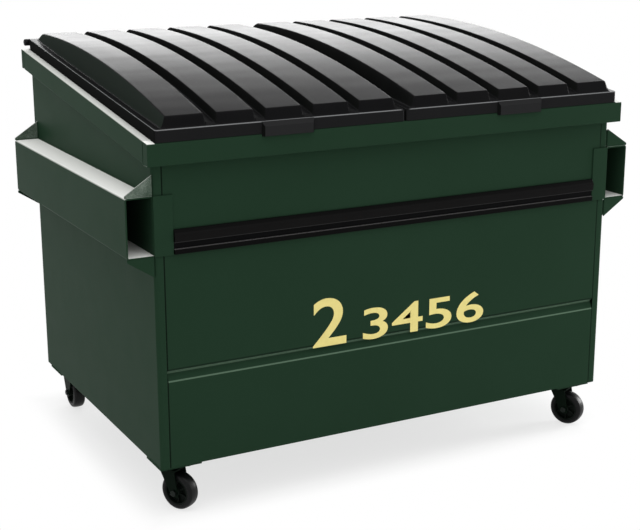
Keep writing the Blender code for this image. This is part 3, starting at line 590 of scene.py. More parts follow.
# Shaded polyethylene: a darker copy with almost no gloss for the faces that look sideways, painting shade
# where the plain moulding would show a pale reflection. A grey-green painted sheen lies on the slope at the
# lid's outer side, which leans back more than the skirt.
shaded_side_plastic, tree, surface, place = start_material("shaded_side_polyethylene", "#0D0E0E", 0.5, specular=0.002)
side_noise, tone = mottled(tree, place, 12.0, 5.0, "#0E0F0F", "#171817", 0.6)
along_front = add_node(tree, "ShaderNodeSeparateXYZ", {0: place}).outputs["X"]
aside = add_node(tree, "ShaderNodeMath", {0: along_front}, operation="ABSOLUTE")
outer_slope_x = 0.845
outer_side = add_node(tree, "ShaderNodeMath", {0: aside, 1: outer_slope_x}, operation="GREATER_THAN")
lit_slope = add_node(tree, "ShaderNodeMath", {0: looking_up(tree, 0.15, 0.2), 1: outer_side}, operation="MULTIPLY")
slope_sheen = add_node(tree, "ShaderNodeMix", {0: lit_slope, 6: tone, 7: "#242A26"}, data_type="RGBA")
dulled = add_node(tree, "ShaderNodeMapRange", {"Value": side_noise, "To Min": 0.42, "To Max": 0.6})
grained = rippled(tree, place, 700.0, 2.0, 0.00008)
feed(tree, surface, {"Base Color": slope_sheen, "Roughness": dulled, "Normal": grained})
# A face takes the shaded copy where its normal's X is larger than this, to either side
sideways = 0.8

lid_inner_x, lid_outer_x = 0.002, 0.888
lid_front_y, lid_rear_y = -0.651, 0.625
lid_width = lid_outer_x - lid_inner_x
lid_height = 0.040
lid_wall = 0.0045
lid_seat = 0.0009
lid_edge_round, lid_corner_round = 0.003, 0.009
rib_count = 5
groove_width, groove_slant, groove_depth = 0.0415, 0.004, 0.028
side_flange, outer_slant = 0.025, 0.015
front_flange, rear_flange = 0.0055, 0.013
front_run, rear_run = 0.010, 0.050
front_rise, rear_rise, crown_rise = 0.036, 0.031, 0.040
# How full the ribs' rear ends are, from 1 for a straight slope to 2 for an ellipse: at 245 degrees they hang
# 1 mm clear of the rear rim
rear_fullness = 1.5
rounding = 0.0032
first_rib = side_flange + outer_slant
rib_width = (lid_width - 2 * first_rib - (rib_count - 1) * groove_width) / rib_count
rib_pitch = rib_width + groove_width
hinge_y, hinge_z = 0.650, 1.434015
# One lug stands between the lids, and others in the grooves after each lid's second and fourth rib
lug_places = [0.0] + [lid_inner_x + first_rib + ribs * rib_pitch - groove_width / 2 for ribs in (2, 4)]
notch_half, notch_depth = 0.007, 0.036
# Shares of grey that make the front skirt and the handle lighter
skirt_grey, handle_grey = 0.03, 0.075
# How far in from the lid's edge the painted highlight begins
grey_from = 0.0002

# Across a lid: each place, the shares of the ribs' and the grooves' heights that it carries, and which way
# the wall's inner side is shifted there
knots = [(0.0, 0, 0, 1), (side_flange, 0, 0, 1)]
for rib in range(rib_count):
    left = first_rib + rib * rib_pitch
    right = left + rib_width
    knots += [(left, 1, 0, 1), (right, 1, 0, -1)]
    if rib < rib_count - 1:
        knots += [(right + groove_slant, 0, 1, -1), (left + rib_pitch - groove_slant, 0, 1, 1)]
knots += [(lid_width - side_flange, 0, 0, -1), (lid_width, 0, 0, -1)]


def across_lid(place, column):
    """The value of one column of the knots at a place, by straight lines between its rows."""
    for first, second in zip(knots, knots[1:]):
        if place <= second[0]:
            share = max(0.0, (place - first[0]) / (second[0] - first[0]))
            return first[column] + (second[column] - first[column]) * share
    return knots[-1][column]


def softened(curve, place):
    """A curve with its corners rounded: its average over a short stretch about the place."""
    return sum(curve(place + rounding * step / 3) for step in range(-3, 4)) / 7


front_base = lid_front_y + front_flange
front_top = front_base + front_run
rear_base = lid_rear_y - rear_flange
rear_top = rear_base - rear_run


def rise_at(y, depth, fullness):
    """Height over the flange: a steep front, a long crown less a depth, and a rear end of some fullness."""
    if y < front_top:
        return (front_rise - depth) * max(0.0, (y - front_base) / front_run)
    if y > rear_top:
        return (rear_rise - depth) * max(0.0, 1 - ((y - rear_top) / rear_run) ** fullness) ** (1 / fullness)
    share = (y - front_top) / (rear_top - front_top)
    return front_rise + (rear_rise - front_rise) * share + crown_rise * (1 - (2 * share - 1) ** 2) - depth


def filled(places, widest):
    """Sorted places with more put between any two that lie further apart than the widest step."""
    places = sorted(set(round(place, 6) for place in places))
    result = [places[0]]
    for before, after in zip(places, places[1:]):
        count = max(1, math.ceil((after - before) / widest))
        result += [before + (after - before) * step / count for step in range(1, count + 1)]
    return result


# The grid's steps: on either side of a knot, along the front and rear slopes, and the widest ones allowed
knot_step, slope_step, widest_column, widest_row = 0.00125, 0.001, 0.012, 0.028
edge_steps = [0.0, 0.0003, 0.0009, 0.0018, 0.003, 0.006, lid_corner_round]
notch_sides = [lug - lid_inner_x + turn * notch_half for lug in lug_places for turn in (-1, 1)]
lid_columns = edge_steps + [lid_width - step for step in edge_steps]
lid_columns += [place + step * knot_step for place, *_ in knots[1:-1] for step in range(-4, 5)]
lid_columns = filled(lid_columns + [place for place in notch_sides if place > 0], widest_column)
lid_rows = [lid_front_y + step for step in edge_steps] + [lid_rear_y - step for step in edge_steps]
lid_rows += [front_base + step * slope_step for step in range(-5, 15)]
lid_rows += [rear_base + step * slope_step for step in range(4)] + [lid_rear_y - notch_depth]
lid_rows += [rear_base - rear_run * (1 - math.sin(math.radians(6 * step))) for step in range(16)]
lid_rows = filled(lid_rows, widest_row)
crests = [softened(lambda at: rise_at(at, 0.0, rear_fullness), y) for y in lid_rows]
troughs = [softened(lambda at: rise_at(at, groove_depth, 1.0), y) for y in lid_rows]
crest_shares = [softened(lambda at: across_lid(at, 1), place) for place in lid_columns]
trough_shares = [softened(lambda at: across_lid(at, 2), place) for place in lid_columns]


def lid_point(place, y):
    """A grid point in plan, with the lid's corners rounded, and its distance from the lid's edge."""
    across = min(place, lid_width - place)
    along = min(y - lid_front_y, lid_rear_y - y)
    if across >= lid_corner_round or along >= lid_corner_round:
        return place, y, min(across, along)
    s, t = 1 - across / lid_corner_round, 1 - along / lid_corner_round
    new_s, new_t = s * math.sqrt(1 - t * t / 2), t * math.sqrt(1 - s * s / 2)
    new_across, new_along = lid_corner_round * (1 - new_s), lid_corner_round * (1 - new_t)
    new_place = new_across if place < lid_width / 2 else lid_width - new_across
    new_y = lid_front_y + new_along if y < 0 else lid_rear_y - new_along
    return new_place, new_y, max(0.0, lid_corner_round * (1 - math.hypot(new_s, new_t)))


def lid_shell(bm, side):
    """The ribbed skin with its skirt and the notches for the lugs, as one closed wall."""
    upper, under = {}, {}
    grey_share = bm.verts.layers.float.new("grey_share")
    for i, place in enumerate(lid_columns):
        across_shift = across_lid(place, 3) * lid_wall
        for j, y in enumerate(lid_rows):
            plan_x, plan_y, inside = lid_point(place, y)
            short = max(0.0, lid_edge_round - inside)
            drop = lid_edge_round - math.sqrt(lid_edge_round**2 - short**2)
            rise = crest_shares[i] * crests[j] + trough_shares[i] * troughs[j]
            x = lid_inner_x + plan_x
            z = rim_top(plan_y) + lid_height + rise - drop
            along_shift = lid_wall * (1 - 2 * (y - lid_front_y) / (lid_rear_y - lid_front_y))
            upper[i, j] = bm.verts.new((side * x, plan_y, z))
            under[i, j] = bm.verts.new((side * (x + across_shift), plan_y + along_shift, z - lid_wall))
            # The flange's rounded outer edge takes the painted highlight, and the front skirt its share of
            # grey
            if grey_from < inside <= lid_edge_round and plan_x > lid_corner_round:
                upper[i, j][grey_share] = 1.0
            elif y == lid_front_y:
                upper[i, j][grey_share] = skirt_grey
    last_i, last_j = len(lid_columns) - 1, len(lid_rows) - 1

    def on_grid(i, j):
        return 0 <= i < last_i and 0 <= j < last_j

    def kept(i, j):
        """Whether a cell belongs to the skin: all on the grid do, apart from those in the notches."""
        if not on_grid(i, j):
            return False
        middle = lid_inner_x + (lid_columns[i] + lid_columns[i + 1]) / 2
        behind = (lid_rows[j] + lid_rows[j + 1]) / 2 > lid_rear_y - notch_depth
        return not (behind and any(abs(middle - lug) < notch_half for lug in lug_places))

    feet = {}

    def foot(key):
        """The skirt's two lower points under a grid point, just over the rim."""
        if key not in feet:
            level = rim_top(upper[key].co.y) + lid_seat
            outer = bm.verts.new((upper[key].co.x, upper[key].co.y, level))
            outer[grey_share] = upper[key][grey_share]
            feet[key] = (outer, bm.verts.new((under[key].co.x, under[key].co.y, level)))
        return feet[key]

    skirt_ends = {}
    for i in range(last_i):
        for j in range(last_j):
            if not kept(i, j):
                continue
            corners = [(i, j), (i + 1, j), (i + 1, j + 1), (i, j + 1)]
            neighbours = [(i, j - 1), (i + 1, j), (i, j + 1), (i - 1, j)]
            bm.faces.new([upper[key] for key in corners])
            bm.faces.new([under[key] for key in corners[::-1]])
            for start, end, neighbour in zip(corners, corners[1:] + corners[:1], neighbours):
                if kept(*neighbour):
                    continue
                if on_grid(*neighbour):
                    bm.faces.new((upper[start], upper[end], under[end], under[start]))
                    continue
                (start_out, start_in), (end_out, end_in) = foot(start), foot(end)
                bm.faces.new((upper[start], upper[end], end_out, start_out))
                bm.faces.new((under[start], under[end], end_in, start_in))
                bm.faces.new((start_out, end_out, end_in, start_in))
                for key in (start, end):
                    skirt_ends[key] = skirt_ends.get(key, 0) + 1
    for key, uses in skirt_ends.items():
        if uses == 1:
            bm.faces.new((upper[key], under[key], feet[key][1], feet[key][0]))


def mirrored(profile):
    """A profile of (radius, height) points with its mirror image; a point at height zero is shared."""
    return profile + [(radius, -height) for radius, height in profile[::-1] if height]


def add_turned(bm, profile, place, steps=48, closed=False):
    """A profile of (radius, height) points turned about its own Z axis; place puts that axis on the piece."""
    turns = [(math.cos(2 * math.pi * i / steps), math.sin(2 * math.pi * i / steps)) for i in range(steps)]
    rings = []
    for radius, height in profile:
        if radius == 0:
            rings.append([bm.verts.new(place @ Vector((0, 0, height)))] * steps)
        else:
            rings.append([bm.verts.new(place @ Vector((radius * c, radius * s, height))) for c, s in turns])
    for first, second in zip(rings, rings[1:] + rings[:1] if closed else rings[1:]):
        join_rings(bm, first, second)


def merged(target, source, place):
    """Moves a mesh under construction to its place and adds it to another."""
    bmesh.ops.transform(source, matrix=place, verts=source.verts)
    copy = bpy.data.meshes.new("part")
    source.to_mesh(copy)
    source.free()
    target.from_mesh(copy)
    bpy.data.meshes.remove(copy)


def facing_x(x, y=0.0, z=0.0):
    """The place of a thing made about its Z axis that lies along X, with its X along Y and its Y along Z."""
    return Matrix(((0, 0, 1, x), (1, 0, 0, y), (0, 1, 0, z), (0, 0, 0, 1)))


# The eyes that ride on the rod, and the web that joins each to the rear skirt
eye_radius, eye_bore, eye_chamfer = 0.0125, 0.0085, 0.001
knuckle_half = 0.0275
knuckle_offset = 0.0315
web_inset, web_ease = 0.002, 0.001
web_root, web_tip = (lid_rear_y - 0.002, 0.011), (hinge_y - 0.0095, 0.0065)


def add_knuckle(bm, x):
    """One eye with its web, at a place along the rod."""
    profile = [(eye_bore, -knuckle_half), (eye_radius - eye_chamfer, -knuckle_half)]
    profile += [(eye_radius, -knuckle_half + eye_chamfer)]
    add_turned(bm, mirrored(profile), facing_x(x, hinge_y, hinge_z), steps=32, closed=True)
    outline = [(y, hinge_z - half) for y, half in (web_root, web_tip)]
    outline += [(y, hinge_z + half) for y, half in (web_tip, web_root)]
    reach = knuckle_half - web_inset
    prism(bm, outline, (x - reach, x + reach), ease=web_ease)


# The handle: a lip on the front skirt, which hangs a little over the rim's face
handle_half = 0.0925
handle_offsets = {-1: 0.008, 1: 0.016}
handle_reach, handle_drop = 0.011, 0.008
handle_high, handle_slope, handle_seat = 0.0385, 0.024, 0.003
handle_chamfer, handle_taper, handle_ease = 0.002, 0.007, 0.0014
handle_root, handle_clearance, handle_stem = 0.002, 0.0015, 0.004


def add_handle(bm, side):
    """The handle, whose outer side is narrower than its root."""
    middle = side * (lid_inner_x + lid_outer_x) / 2 + handle_offsets[side]
    base = rim_top(lid_front_y) + lid_seat
    low = base - handle_drop
    inner_y, face_y = lid_front_y + handle_root, rim_front_y - handle_clearance
    outer_y = rim_front_y - handle_reach
    outline = [(inner_y, base + handle_high), (face_y, base + handle_high), (outer_y, base + handle_slope)]
    outline += [(outer_y, low + handle_chamfer), (outer_y + handle_chamfer, low), (face_y, low)]
    outline += [(face_y, base + handle_seat), (inner_y, base + handle_seat)]
    made = bmesh.new()
    prism(made, outline, (middle - handle_half, middle + handle_half))
    for vert in made.verts:
        if vert.co.y < face_y - handle_stem:
            vert.co.x += handle_taper if vert.co.x < middle else -handle_taper
    ease_edges(made, handle_ease, 20, segments=3)
    grey_share = made.verts.layers.float.new("grey_share")
    for vert in made.verts:
        vert[grey_share] = handle_grey
    merged(bm, made, Matrix())


knuckle_places = [lug + turn * knuckle_offset for lug in lug_places for turn in (-1, 1)]
knuckle_places = [x for x in knuckle_places if x > 0] + [lid_outer_x - knuckle_half]
for side_name, side in sides.items():
    bm = bmesh.new()
    lid_shell(bm, side)
    add_handle(bm, side)
    for x in knuckle_places:
        add_knuckle(bm, side * x)
    lid = f"{side_name}_lid"
    moulding = fit(f"{lid}_moulding", finished(bm), polyethylene, lid, "lid_plastic", lid)
    # Faces that look sideways take the darker, shaded copy
    moulding.data.materials.append(shaded_side_plastic)
    for face in moulding.data.polygons:
        face.material_index = 1 if abs(face.normal.x) > sideways else 0

# Hinge: a plain round rod of zinc-plated steel through the eyes of both lids and through five steel lugs.
# The lugs are cut from 6 mm plate and welded to the rear rim, and moulded caps are pressed on the rod's ends.


def arc(centre, radius, start, end, steps):
    """Points along an arc, its angles in degrees."""
    angles = [math.radians(start + (end - start) * step / steps) for step in range(steps + 1)]
    return [(centre[0] + radius * math.cos(a), centre[1] + radius * math.sin(a)) for a in angles]


def cut_plate(outlines, thickness, ease):
    """A plate cut to closed outlines, holes among them, with its edges eased, lying about its XY plane."""
    bm = bmesh.new()
    edges = []
    for outline in outlines:
        verts = [bm.verts.new((x, y, -thickness / 2)) for x, y in outline]
        edges += [bm.edges.new(pair) for pair in zip(verts, verts[1:] + verts[:1])]
    filled_in = bmesh.ops.triangle_fill(bm, edges=edges, use_beauty=True)["geom"]
    faces = [one for one in filled_in if isinstance(one, bmesh.types.BMFace)]
    extruded = bmesh.ops.extrude_face_region(bm, geom=faces)["geom"]
    raised = [one for one in extruded if isinstance(one, bmesh.types.BMVert)]
    bmesh.ops.translate(bm, verts=raised, vec=(0, 0, thickness))
    bmesh.ops.recalc_face_normals(bm, faces=bm.faces)
    ease_edges(bm, ease, 50, clamp=True)
    return bm


def turned(profile, place, steps=48, closed=False):
    """The finished mesh of a profile turned about its own Z axis, at its place."""
    bm = bmesh.new()
    add_turned(bm, profile, place, steps, closed)
    return finished(bm)


def plate_at(place, outlines, thickness, ease):
    """The finished mesh of a cut plate, at its place."""
    bm = bmesh.new()
    merged(bm, cut_plate(outlines, thickness, ease), place)
    return finished(bm)


def zinc_plating(name, bright, dull, grime):
    """Zinc-plated steel: grey metal whose bright crystals have dulled in patches, under a share of grime."""
    made, tree, surface, place = start_material(name, bright, 0.4, metallic=1.0)
    crystals = add_node(tree, "ShaderNodeTexVoronoi", {"Vector": place, "Scale": 420.0})
    patches = add_node(tree, "ShaderNodeTexNoise", {"Vector": place, "Scale": 60.0, "Detail": 4.0})
    uneven = add_node(tree, "ShaderNodeMath", {0: patches, 1: crystals}, operation="ADD")
    tone = add_node(tree, "ShaderNodeMix", {0: uneven, 6: bright, 7: dull}, data_type="RGBA")
    soiling = {"Value": patches, "From Min": 0.75 - grime, "From Max": 0.95 - grime, "To Max": grime}
    soiled = add_node(tree, "ShaderNodeMapRange", soiling)
    dirty = add_node(tree, "ShaderNodeMix", {0: soiled, 6: tone, 7: "#161816"}, data_type="RGBA")
    gloss = add_node(tree, "ShaderNodeMapRange", {"Value": soiled, "To Min": 0.34, "To Max": 0.7})
    feed(tree, surface, {"Base Color": dirty, "Roughness": gloss})
    return made


rod_zinc = zinc_plating("zinc_plated_steel", "#8E9292", "#6F7373", 0.3)

# Moulded nylon: plain black with the fine grain of the mould
cap_plastic, tree, surface, place = start_material("moulded_nylon", "#0E0F10", 0.45, specular=0.08)
grain, tone = mottled(tree, place, 900.0, 2.0, "#0B0C0D", "#131415")
grained = add_node(tree, "ShaderNodeBump", {"Height": grain, "Distance": 0.00005})
feed(tree, surface, {"Base Color": tone, "Normal": grained})

rod_radius, rod_chamfer, rod_in_cap = 0.008, 0.0008, 0.008
rod_half = lid_outer_x + gap + rod_in_cap
along_rod = Matrix.Translation((0, hinge_y, hinge_z)) @ Matrix.Rotation(math.pi / 2, 4, "Y")
rod_profile = [(0, -rod_half), (rod_radius - rod_chamfer, -rod_half), (rod_radius, -rod_half + rod_chamfer)]
bar = turned(mirrored(rod_profile), along_rod)
fit("hinge_rod_bar", bar, rod_zinc, "container", "zinc_steel", "hinge_rod")

cap_height, cap_round, cap_chamfer, cap_bore_depth = 0.012, 0.005, 0.0008, 0.0083
cap_bore = rod_radius + gap
cap_profile = [(0, cap_height)] + arc((eye_radius - cap_round, cap_height - cap_round), cap_round, 90, 0, 8)
cap_profile += [(eye_radius, cap_chamfer), (eye_radius - cap_chamfer, 0)]
cap_profile += [(cap_bore, 0), (cap_bore, cap_bore_depth), (0, cap_bore_depth)]
for side_name, side in sides.items():
    node = f"hinge_rod_{side_name}_cap"
    place = Matrix.Translation((side * (lid_outer_x + gap), hinge_y, hinge_z))
    cap = turned(cap_profile, place @ Matrix.Rotation(side * math.pi / 2, 4, "Y"))
    fit(f"{side_name}_rod_end_cap", cap, cap_plastic, "container", "cap_plastic", node)

lug_thickness, lug_foot, lug_ease = 0.006, 0.008, 0.0007
lug_low = -0.0825
foot_y = rim_rear_y + gap - hinge_y
bore = arc((0, 0), eye_bore, 360, 0, 40)[:-1]
tangent = math.degrees(math.asin(foot_y / eye_radius))
lug_outline = [(foot_y, lug_low), (foot_y + lug_foot, lug_low)]
lug_outline += arc((0, 0), eye_radius, -30, 270 + tangent, 40)
lug_names = ("far_left", "left", "centre", "right", "far_right")
lugs = dict(zip(lug_names, [-x for x in lug_places[:0:-1]] + lug_places))
for lug_name, lug_x in lugs.items():
    lug = plate_at(facing_x(lug_x, hinge_y, hinge_z), [lug_outline, bore], lug_thickness, lug_ease)
    fit(f"{lug_name}_lug_plate", lug, body_enamel, "container", "green_paint", f"hinge_lug_{lug_name}")

# Caster mountings: 6 mm pads under the body's corners, and the bolted top plates of the swivel casters.
# The plates are pressed steel with rounded corners, painted dark green with the casters.


def rounded_rectangle(width, depth, corner):
    """A rectangle's outline about the origin, with round corners."""
    outline = []
    for x, y, start in ((1, 1, 0), (-1, 1, 90), (-1, -1, 180), (1, -1, 270)):
        outline += arc((x * (width / 2 - corner), y * (depth / 2 - corner)), corner, start, start + 90, 8)
    return outline


def middle_of(node):
    """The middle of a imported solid's box."""
    low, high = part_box(node)
    return (low + high) / 2


def plate_in(node, corner, ease):
    """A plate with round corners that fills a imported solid's box."""
    low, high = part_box(node)
    width, depth, thickness = high - low
    outline = rounded_rectangle(width, depth, corner)
    return plate_at(Matrix.Translation(middle_of(node)), [outline], thickness, ease)


caster_enamel = sprayed_enamel("dark_green_caster_enamel", 0.0004, "#0F1912", "#0B130D", 0.4)
casters = ("front_left", "front_right", "rear_left", "rear_right")
swivel_casters = casters[:2]
pad_corner, pad_ease = 0.003, 0.0009
for caster in casters:
    node = f"{caster}_caster_pad"
    pad = plate_in(node, pad_corner, pad_ease)
    fit(f"{caster}_mounting_pad", pad, body_enamel, "container", "green_paint", node)

plate_corner, plate_ease = 0.010, 0.0012
for caster in swivel_casters:
    node = f"{caster}_caster_plate"
    plate = plate_in(node, plate_corner, plate_ease)
    fit(f"{caster}_top_plate", plate, caster_enamel, "container", "caster_paint", node)

# Swivel races: two pressed cups with balls between them, held by the riveted kingpin.
# Only the seam between the cups and the rivet's domed head under the crown can be seen.

race_radius, race_low, race_high = 0.030, 0.1431, 0.1551
race_edge, race_seam = 0.001, 0.0012
pin_radius, pin_head = 0.007, 0.012
crown_low = 0.1378
head_top = crown_low - gap
seam_low, seam_high = (race_low + race_high) / 2 - race_seam, (race_low + race_high) / 2 + race_seam
race_profile = [(0, race_high), (race_radius - race_edge, race_high), (race_radius, race_high - race_edge)]
race_profile += [(race_radius, seam_high), (race_radius - 2 * race_edge, seam_high)]
race_profile += [(race_radius - 2 * race_edge, seam_low), (race_radius - race_edge, seam_low)]
race_profile += [(race_radius - race_edge, race_low + 2 * race_edge), (race_radius - 3 * race_edge, race_low)]
race_profile += [(pin_radius, race_low), (pin_radius, head_top), (pin_head, head_top)]
# The rivet's dome: its radius at each depth below the head's upper face
dome = ((pin_head, 0.001), (0.0105, 0.0022), (0.007, 0.0029), (0, 0.003))
race_profile += [(radius, head_top - depth) for radius, depth in dome]
for caster in swivel_casters:
    node = f"{caster}_swivel_race"
    middle = middle_of(node)
    cups = turned(race_profile, Matrix.Translation((middle.x, middle.y, 0)))
    fit(f"{caster}_race_cups", cups, caster_enamel, "container", "caster_paint", node)

# Forks: 4 mm legs under a 5 mm crown, pressed in one piece and painted dark green.
# The front pair turn on their kingpins; the rear pair are rigid, and their crown is the top plate itself.

wheel_radius = 0.0635
fork_inner_half, fork_wall = 0.028, 0.004
crown_wall, crown_corner, crown_ease = 0.005, 0.006, 0.0018
leg_foot, foot_round, leg_shoulder, leg_ease = 0.015, 0.005, 0.006, 0.0009
axle_radius = 0.0062
trail = 0.028
# The underside of all four top plates
plate_low = 0.1554
caster_turns = {"front_left": 30.0, "front_right": 27.0, "rear_left": 0.0, "rear_right": 0.0}
fork_bodies, axle_places = {}, {}
for caster in casters:
    if caster in swivel_casters:
        node, body, pivot = f"{caster}_fork", f"{caster}_fork", middle_of(f"{caster}_swivel_race")
        reach, crown_size, crown_base, leg_width = trail, (0.064, 0.066), crown_low, 0.058
    else:
        node, body, pivot = f"{caster}_caster_frame", "container", middle_of(f"{caster}_caster_pad")
        reach, crown_size, crown_base, leg_width = 0.0, (0.100, 0.110), plate_low, 0.110
    aim = Matrix.Rotation(math.radians(caster_turns[caster]), 4, "Z")
    base = Matrix.Translation((pivot.x, pivot.y, 0)) @ aim
    fork_bodies[caster] = body
    axle_places[caster] = base @ Matrix.Translation((0, -reach, wheel_radius))
    outlines = [rounded_rectangle(*crown_size, crown_corner)]
    if caster in swivel_casters:
        outlines.append(arc((0, 0), pin_radius + gap, 360, 0, 32)[:-1])
    bm = bmesh.new()
    crown_middle = Matrix.Translation((0, 0, crown_base + crown_wall / 2))
    merged(bm, cut_plate(outlines, crown_wall, crown_ease), base @ crown_middle)
    # The legs run on into the crown for two fifths of its thickness
    leg_top = crown_base + crown_wall * 0.4
    leg_half, shoulder_low = leg_width / 2, leg_top - leg_shoulder
    foot_low = wheel_radius - leg_foot + foot_round
    leg = [(leg_half, leg_top), (-leg_half, leg_top), (-leg_half, shoulder_low)]
    leg += arc((-reach - leg_foot + foot_round, foot_low), foot_round, 180, 270, 5)
    leg += arc((-reach + leg_foot - foot_round, foot_low), foot_round, 270, 360, 5)
    leg += [(leg_half, shoulder_low)]
    hole = arc((-reach, wheel_radius), axle_radius + gap, 360, 0, 32)[:-1]
    for side in (-1, 1):
        stand = facing_x(side * (fork_inner_half + fork_wall / 2))
        merged(bm, cut_plate([leg, hole], fork_wall, leg_ease), base @ stand)
    fit(f"{caster}_pressed_fork", finished(bm), caster_enamel, body, "caster_paint", node)

# Axle bolts and nuts: M12 hexagon bolts of zinc-plated steel, through both legs of each fork and the hub.
# Head and nut bear on the legs with thin washer faces, and the bolt's end stands a little out of the nut.


# The cone's radius at a hexagon's end, as a share of the distance from its middle to its flats
cone_share = 0.96


def add_hexagon(bm, radius, base, top, place, both_ends=False):
    """A hexagon with corners chamfered by a cone at the top, as turned bolt heads have, or at both ends."""
    flat = radius * math.cos(math.pi / 6)
    cone = flat * cone_share
    steps = 48
    ends = []
    for end, inwards, is_cut in ((base, 1, both_ends), (top, -1, True)):
        outer, circle = [], []
        for i in range(steps):
            angle = 2 * math.pi * i / steps
            reach = flat / math.cos(angle % (math.pi / 3) - math.pi / 6)
            drop = (reach - cone) * math.tan(math.radians(30)) if is_cut else 0.0
            c, s = math.cos(angle), math.sin(angle)
            outer.append(bm.verts.new(place @ Vector((reach * c, reach * s, end + inwards * drop))))
            circle.append(bm.verts.new(place @ Vector((cone * c, cone * s, end))))
        ends.append((circle, outer))
    (low_circle, low_outer), (high_circle, high_outer) = ends
    join_rings(bm, low_circle, low_outer)
    join_rings(bm, low_outer, high_outer)
    join_rings(bm, high_outer, high_circle)
    bm.faces.new(low_circle[::-1])
    bm.faces.new(high_circle)


road_zinc = zinc_plating("grimy_zinc_plate", "#3A3F3C", "#262B28", 0.45)
head_radius, head_height, nut_height = 0.011, 0.007, 0.008
face_radius, face_height = 0.0092, 0.0008
shank_chamfer = 0.001
leg_outside = fork_inner_half + fork_wall + gap
face_top = leg_outside + face_height
nut_end = leg_outside + nut_height
shank_end = -(nut_end + head_height / 2)
shank = [(0, shank_end), (axle_radius - shank_chamfer, shank_end), (axle_radius, shank_end + shank_chamfer)]
shank += [(axle_radius, leg_outside), (face_radius, leg_outside), (face_radius, face_top), (0, face_top)]
nut_face = [(0, -leg_outside), (face_radius, -leg_outside), (face_radius, -face_top), (0, -face_top)]
for caster in casters:
    body = fork_bodies[caster]
    across_fork = axle_places[caster] @ Matrix.Rotation(-math.pi / 2, 4, "Y")
    bm = bmesh.new()
    add_hexagon(bm, head_radius, face_top, leg_outside + head_height, across_fork)
    add_turned(bm, shank, across_fork)
    fit(f"{caster}_axle_hexagon_bolt", finished(bm), road_zinc, body, "zinc_steel", f"{caster}_axle_bolt")
    bm = bmesh.new()
    add_hexagon(bm, head_radius, -nut_end, -face_top, across_fork, both_ends=True)
    add_turned(bm, nut_face, across_fork)
    fit(f"{caster}_axle_hexagon_nut", finished(bm), road_zinc, body, "zinc_steel", f"{caster}_axle_nut")

# Tyres: solid black rubber, moulded on the hubs and turning with them.
# Their sides are flat with a fine groove near each shoulder, and the plain tread is slightly crowned.

# Vulcanised rubber: deep black with a low sheen, rubbed a little grey in patches
tyre_rubber, tree, surface, place = start_material("vulcanised_rubber", "#070808", 0.42, specular=0.14)
rubbing, tone = mottled(tree, place, 55.0, 5.0, "#040505", "#0F1010", 0.7)
gloss = add_node(tree, "ShaderNodeMapRange", {"Value": rubbing, "To Min": 0.30, "To Max": 0.46})
pitted = add_node(tree, "ShaderNodeBump", {"Height": rubbing, "Distance": 0.0004})
feed(tree, surface, {"Base Color": tone, "Roughness": gloss, "Normal": pitted})

tyre_inner, tyre_half, tread_round = 0.046, 0.0225, 0.0105
tread_crown, side_chamfer, groove_deep = 0.001, (0.0012, 0.001), 0.0007
side_top = wheel_radius - tread_crown - tread_round
tyre_profile = [(tyre_inner, side_chamfer[1] - tyre_half), (tyre_inner + side_chamfer[0], -tyre_half)]
# The groove near the shoulder: its inner border, its bottom and its outer border
tyre_profile += [(side_top - 0.0022, -tyre_half), (side_top - 0.0014, groove_deep - tyre_half)]
tyre_profile += [(side_top - 0.0006, -tyre_half)]
shoulder = arc((-(tyre_half - tread_round), side_top), tread_round, 180, 90, 12)
tyre_profile += [(radius, height) for height, radius in shoulder]
tyre_profile += [(wheel_radius - 0.0002, -tyre_half / 4), (wheel_radius, 0)]
across_wheels = {caster: axle_places[caster] @ Matrix.Rotation(math.pi / 2, 4, "Y") for caster in casters}
for caster, across_wheel in across_wheels.items():
    tyre = turned(mirrored(tyre_profile), across_wheel, steps=96, closed=True)
    fit(f"{caster}_solid_tyre", tyre, tyre_rubber, f"{caster}_wheel", "tyre_rubber", f"{caster}_tyre")

# Hubs: cast iron, with a long bored boss, a web, and a rim that carries the tyre.
# Six ribs on both sides of the web run from the boss to the rim, lower at their middles.

# Cast iron: sand-cast and dipped in black-green paint, so the skin is rough at about 1 mm
hub_iron, tree, surface, place = start_material("painted_cast_iron", "#0C110E", 0.55, specular=0.06)
sand, tone = mottled(tree, place, 800.0, 3.0, "#070B08", "#131A15")
rough_cast = add_node(tree, "ShaderNodeBump", {"Height": sand, "Distance": 0.0003})
feed(tree, surface, {"Base Color": tone, "Normal": rough_cast})

hub_outer, hub_half, hub_rim = 0.0456, 0.022, 0.005
boss_radius, boss_half, bore_radius = 0.015, 0.0275, 0.0065
hub_chamfer, boss_chamfer = 0.0008, 0.001
web_half, fillet_slope, fillet_foot, fillet_rise = 0.005, 0.0006, 0.0026, 0.002
rim_inner = hub_outer - hub_rim
hub_profile = [(bore_radius, boss_half - boss_chamfer), (bore_radius + boss_chamfer, boss_half)]
hub_profile += [(boss_radius - boss_chamfer, boss_half), (boss_radius, boss_half - boss_chamfer)]
hub_profile += [(boss_radius + fillet_slope, web_half + fillet_rise), (boss_radius + fillet_foot, web_half)]
hub_profile += [(rim_inner - fillet_foot, web_half), (rim_inner - fillet_slope, web_half + fillet_rise)]
hub_profile += [(rim_inner, hub_half - hub_chamfer), (rim_inner + hub_chamfer, hub_half)]
hub_profile += [(hub_outer - hub_chamfer, hub_half), (hub_outer, hub_half - hub_chamfer)]


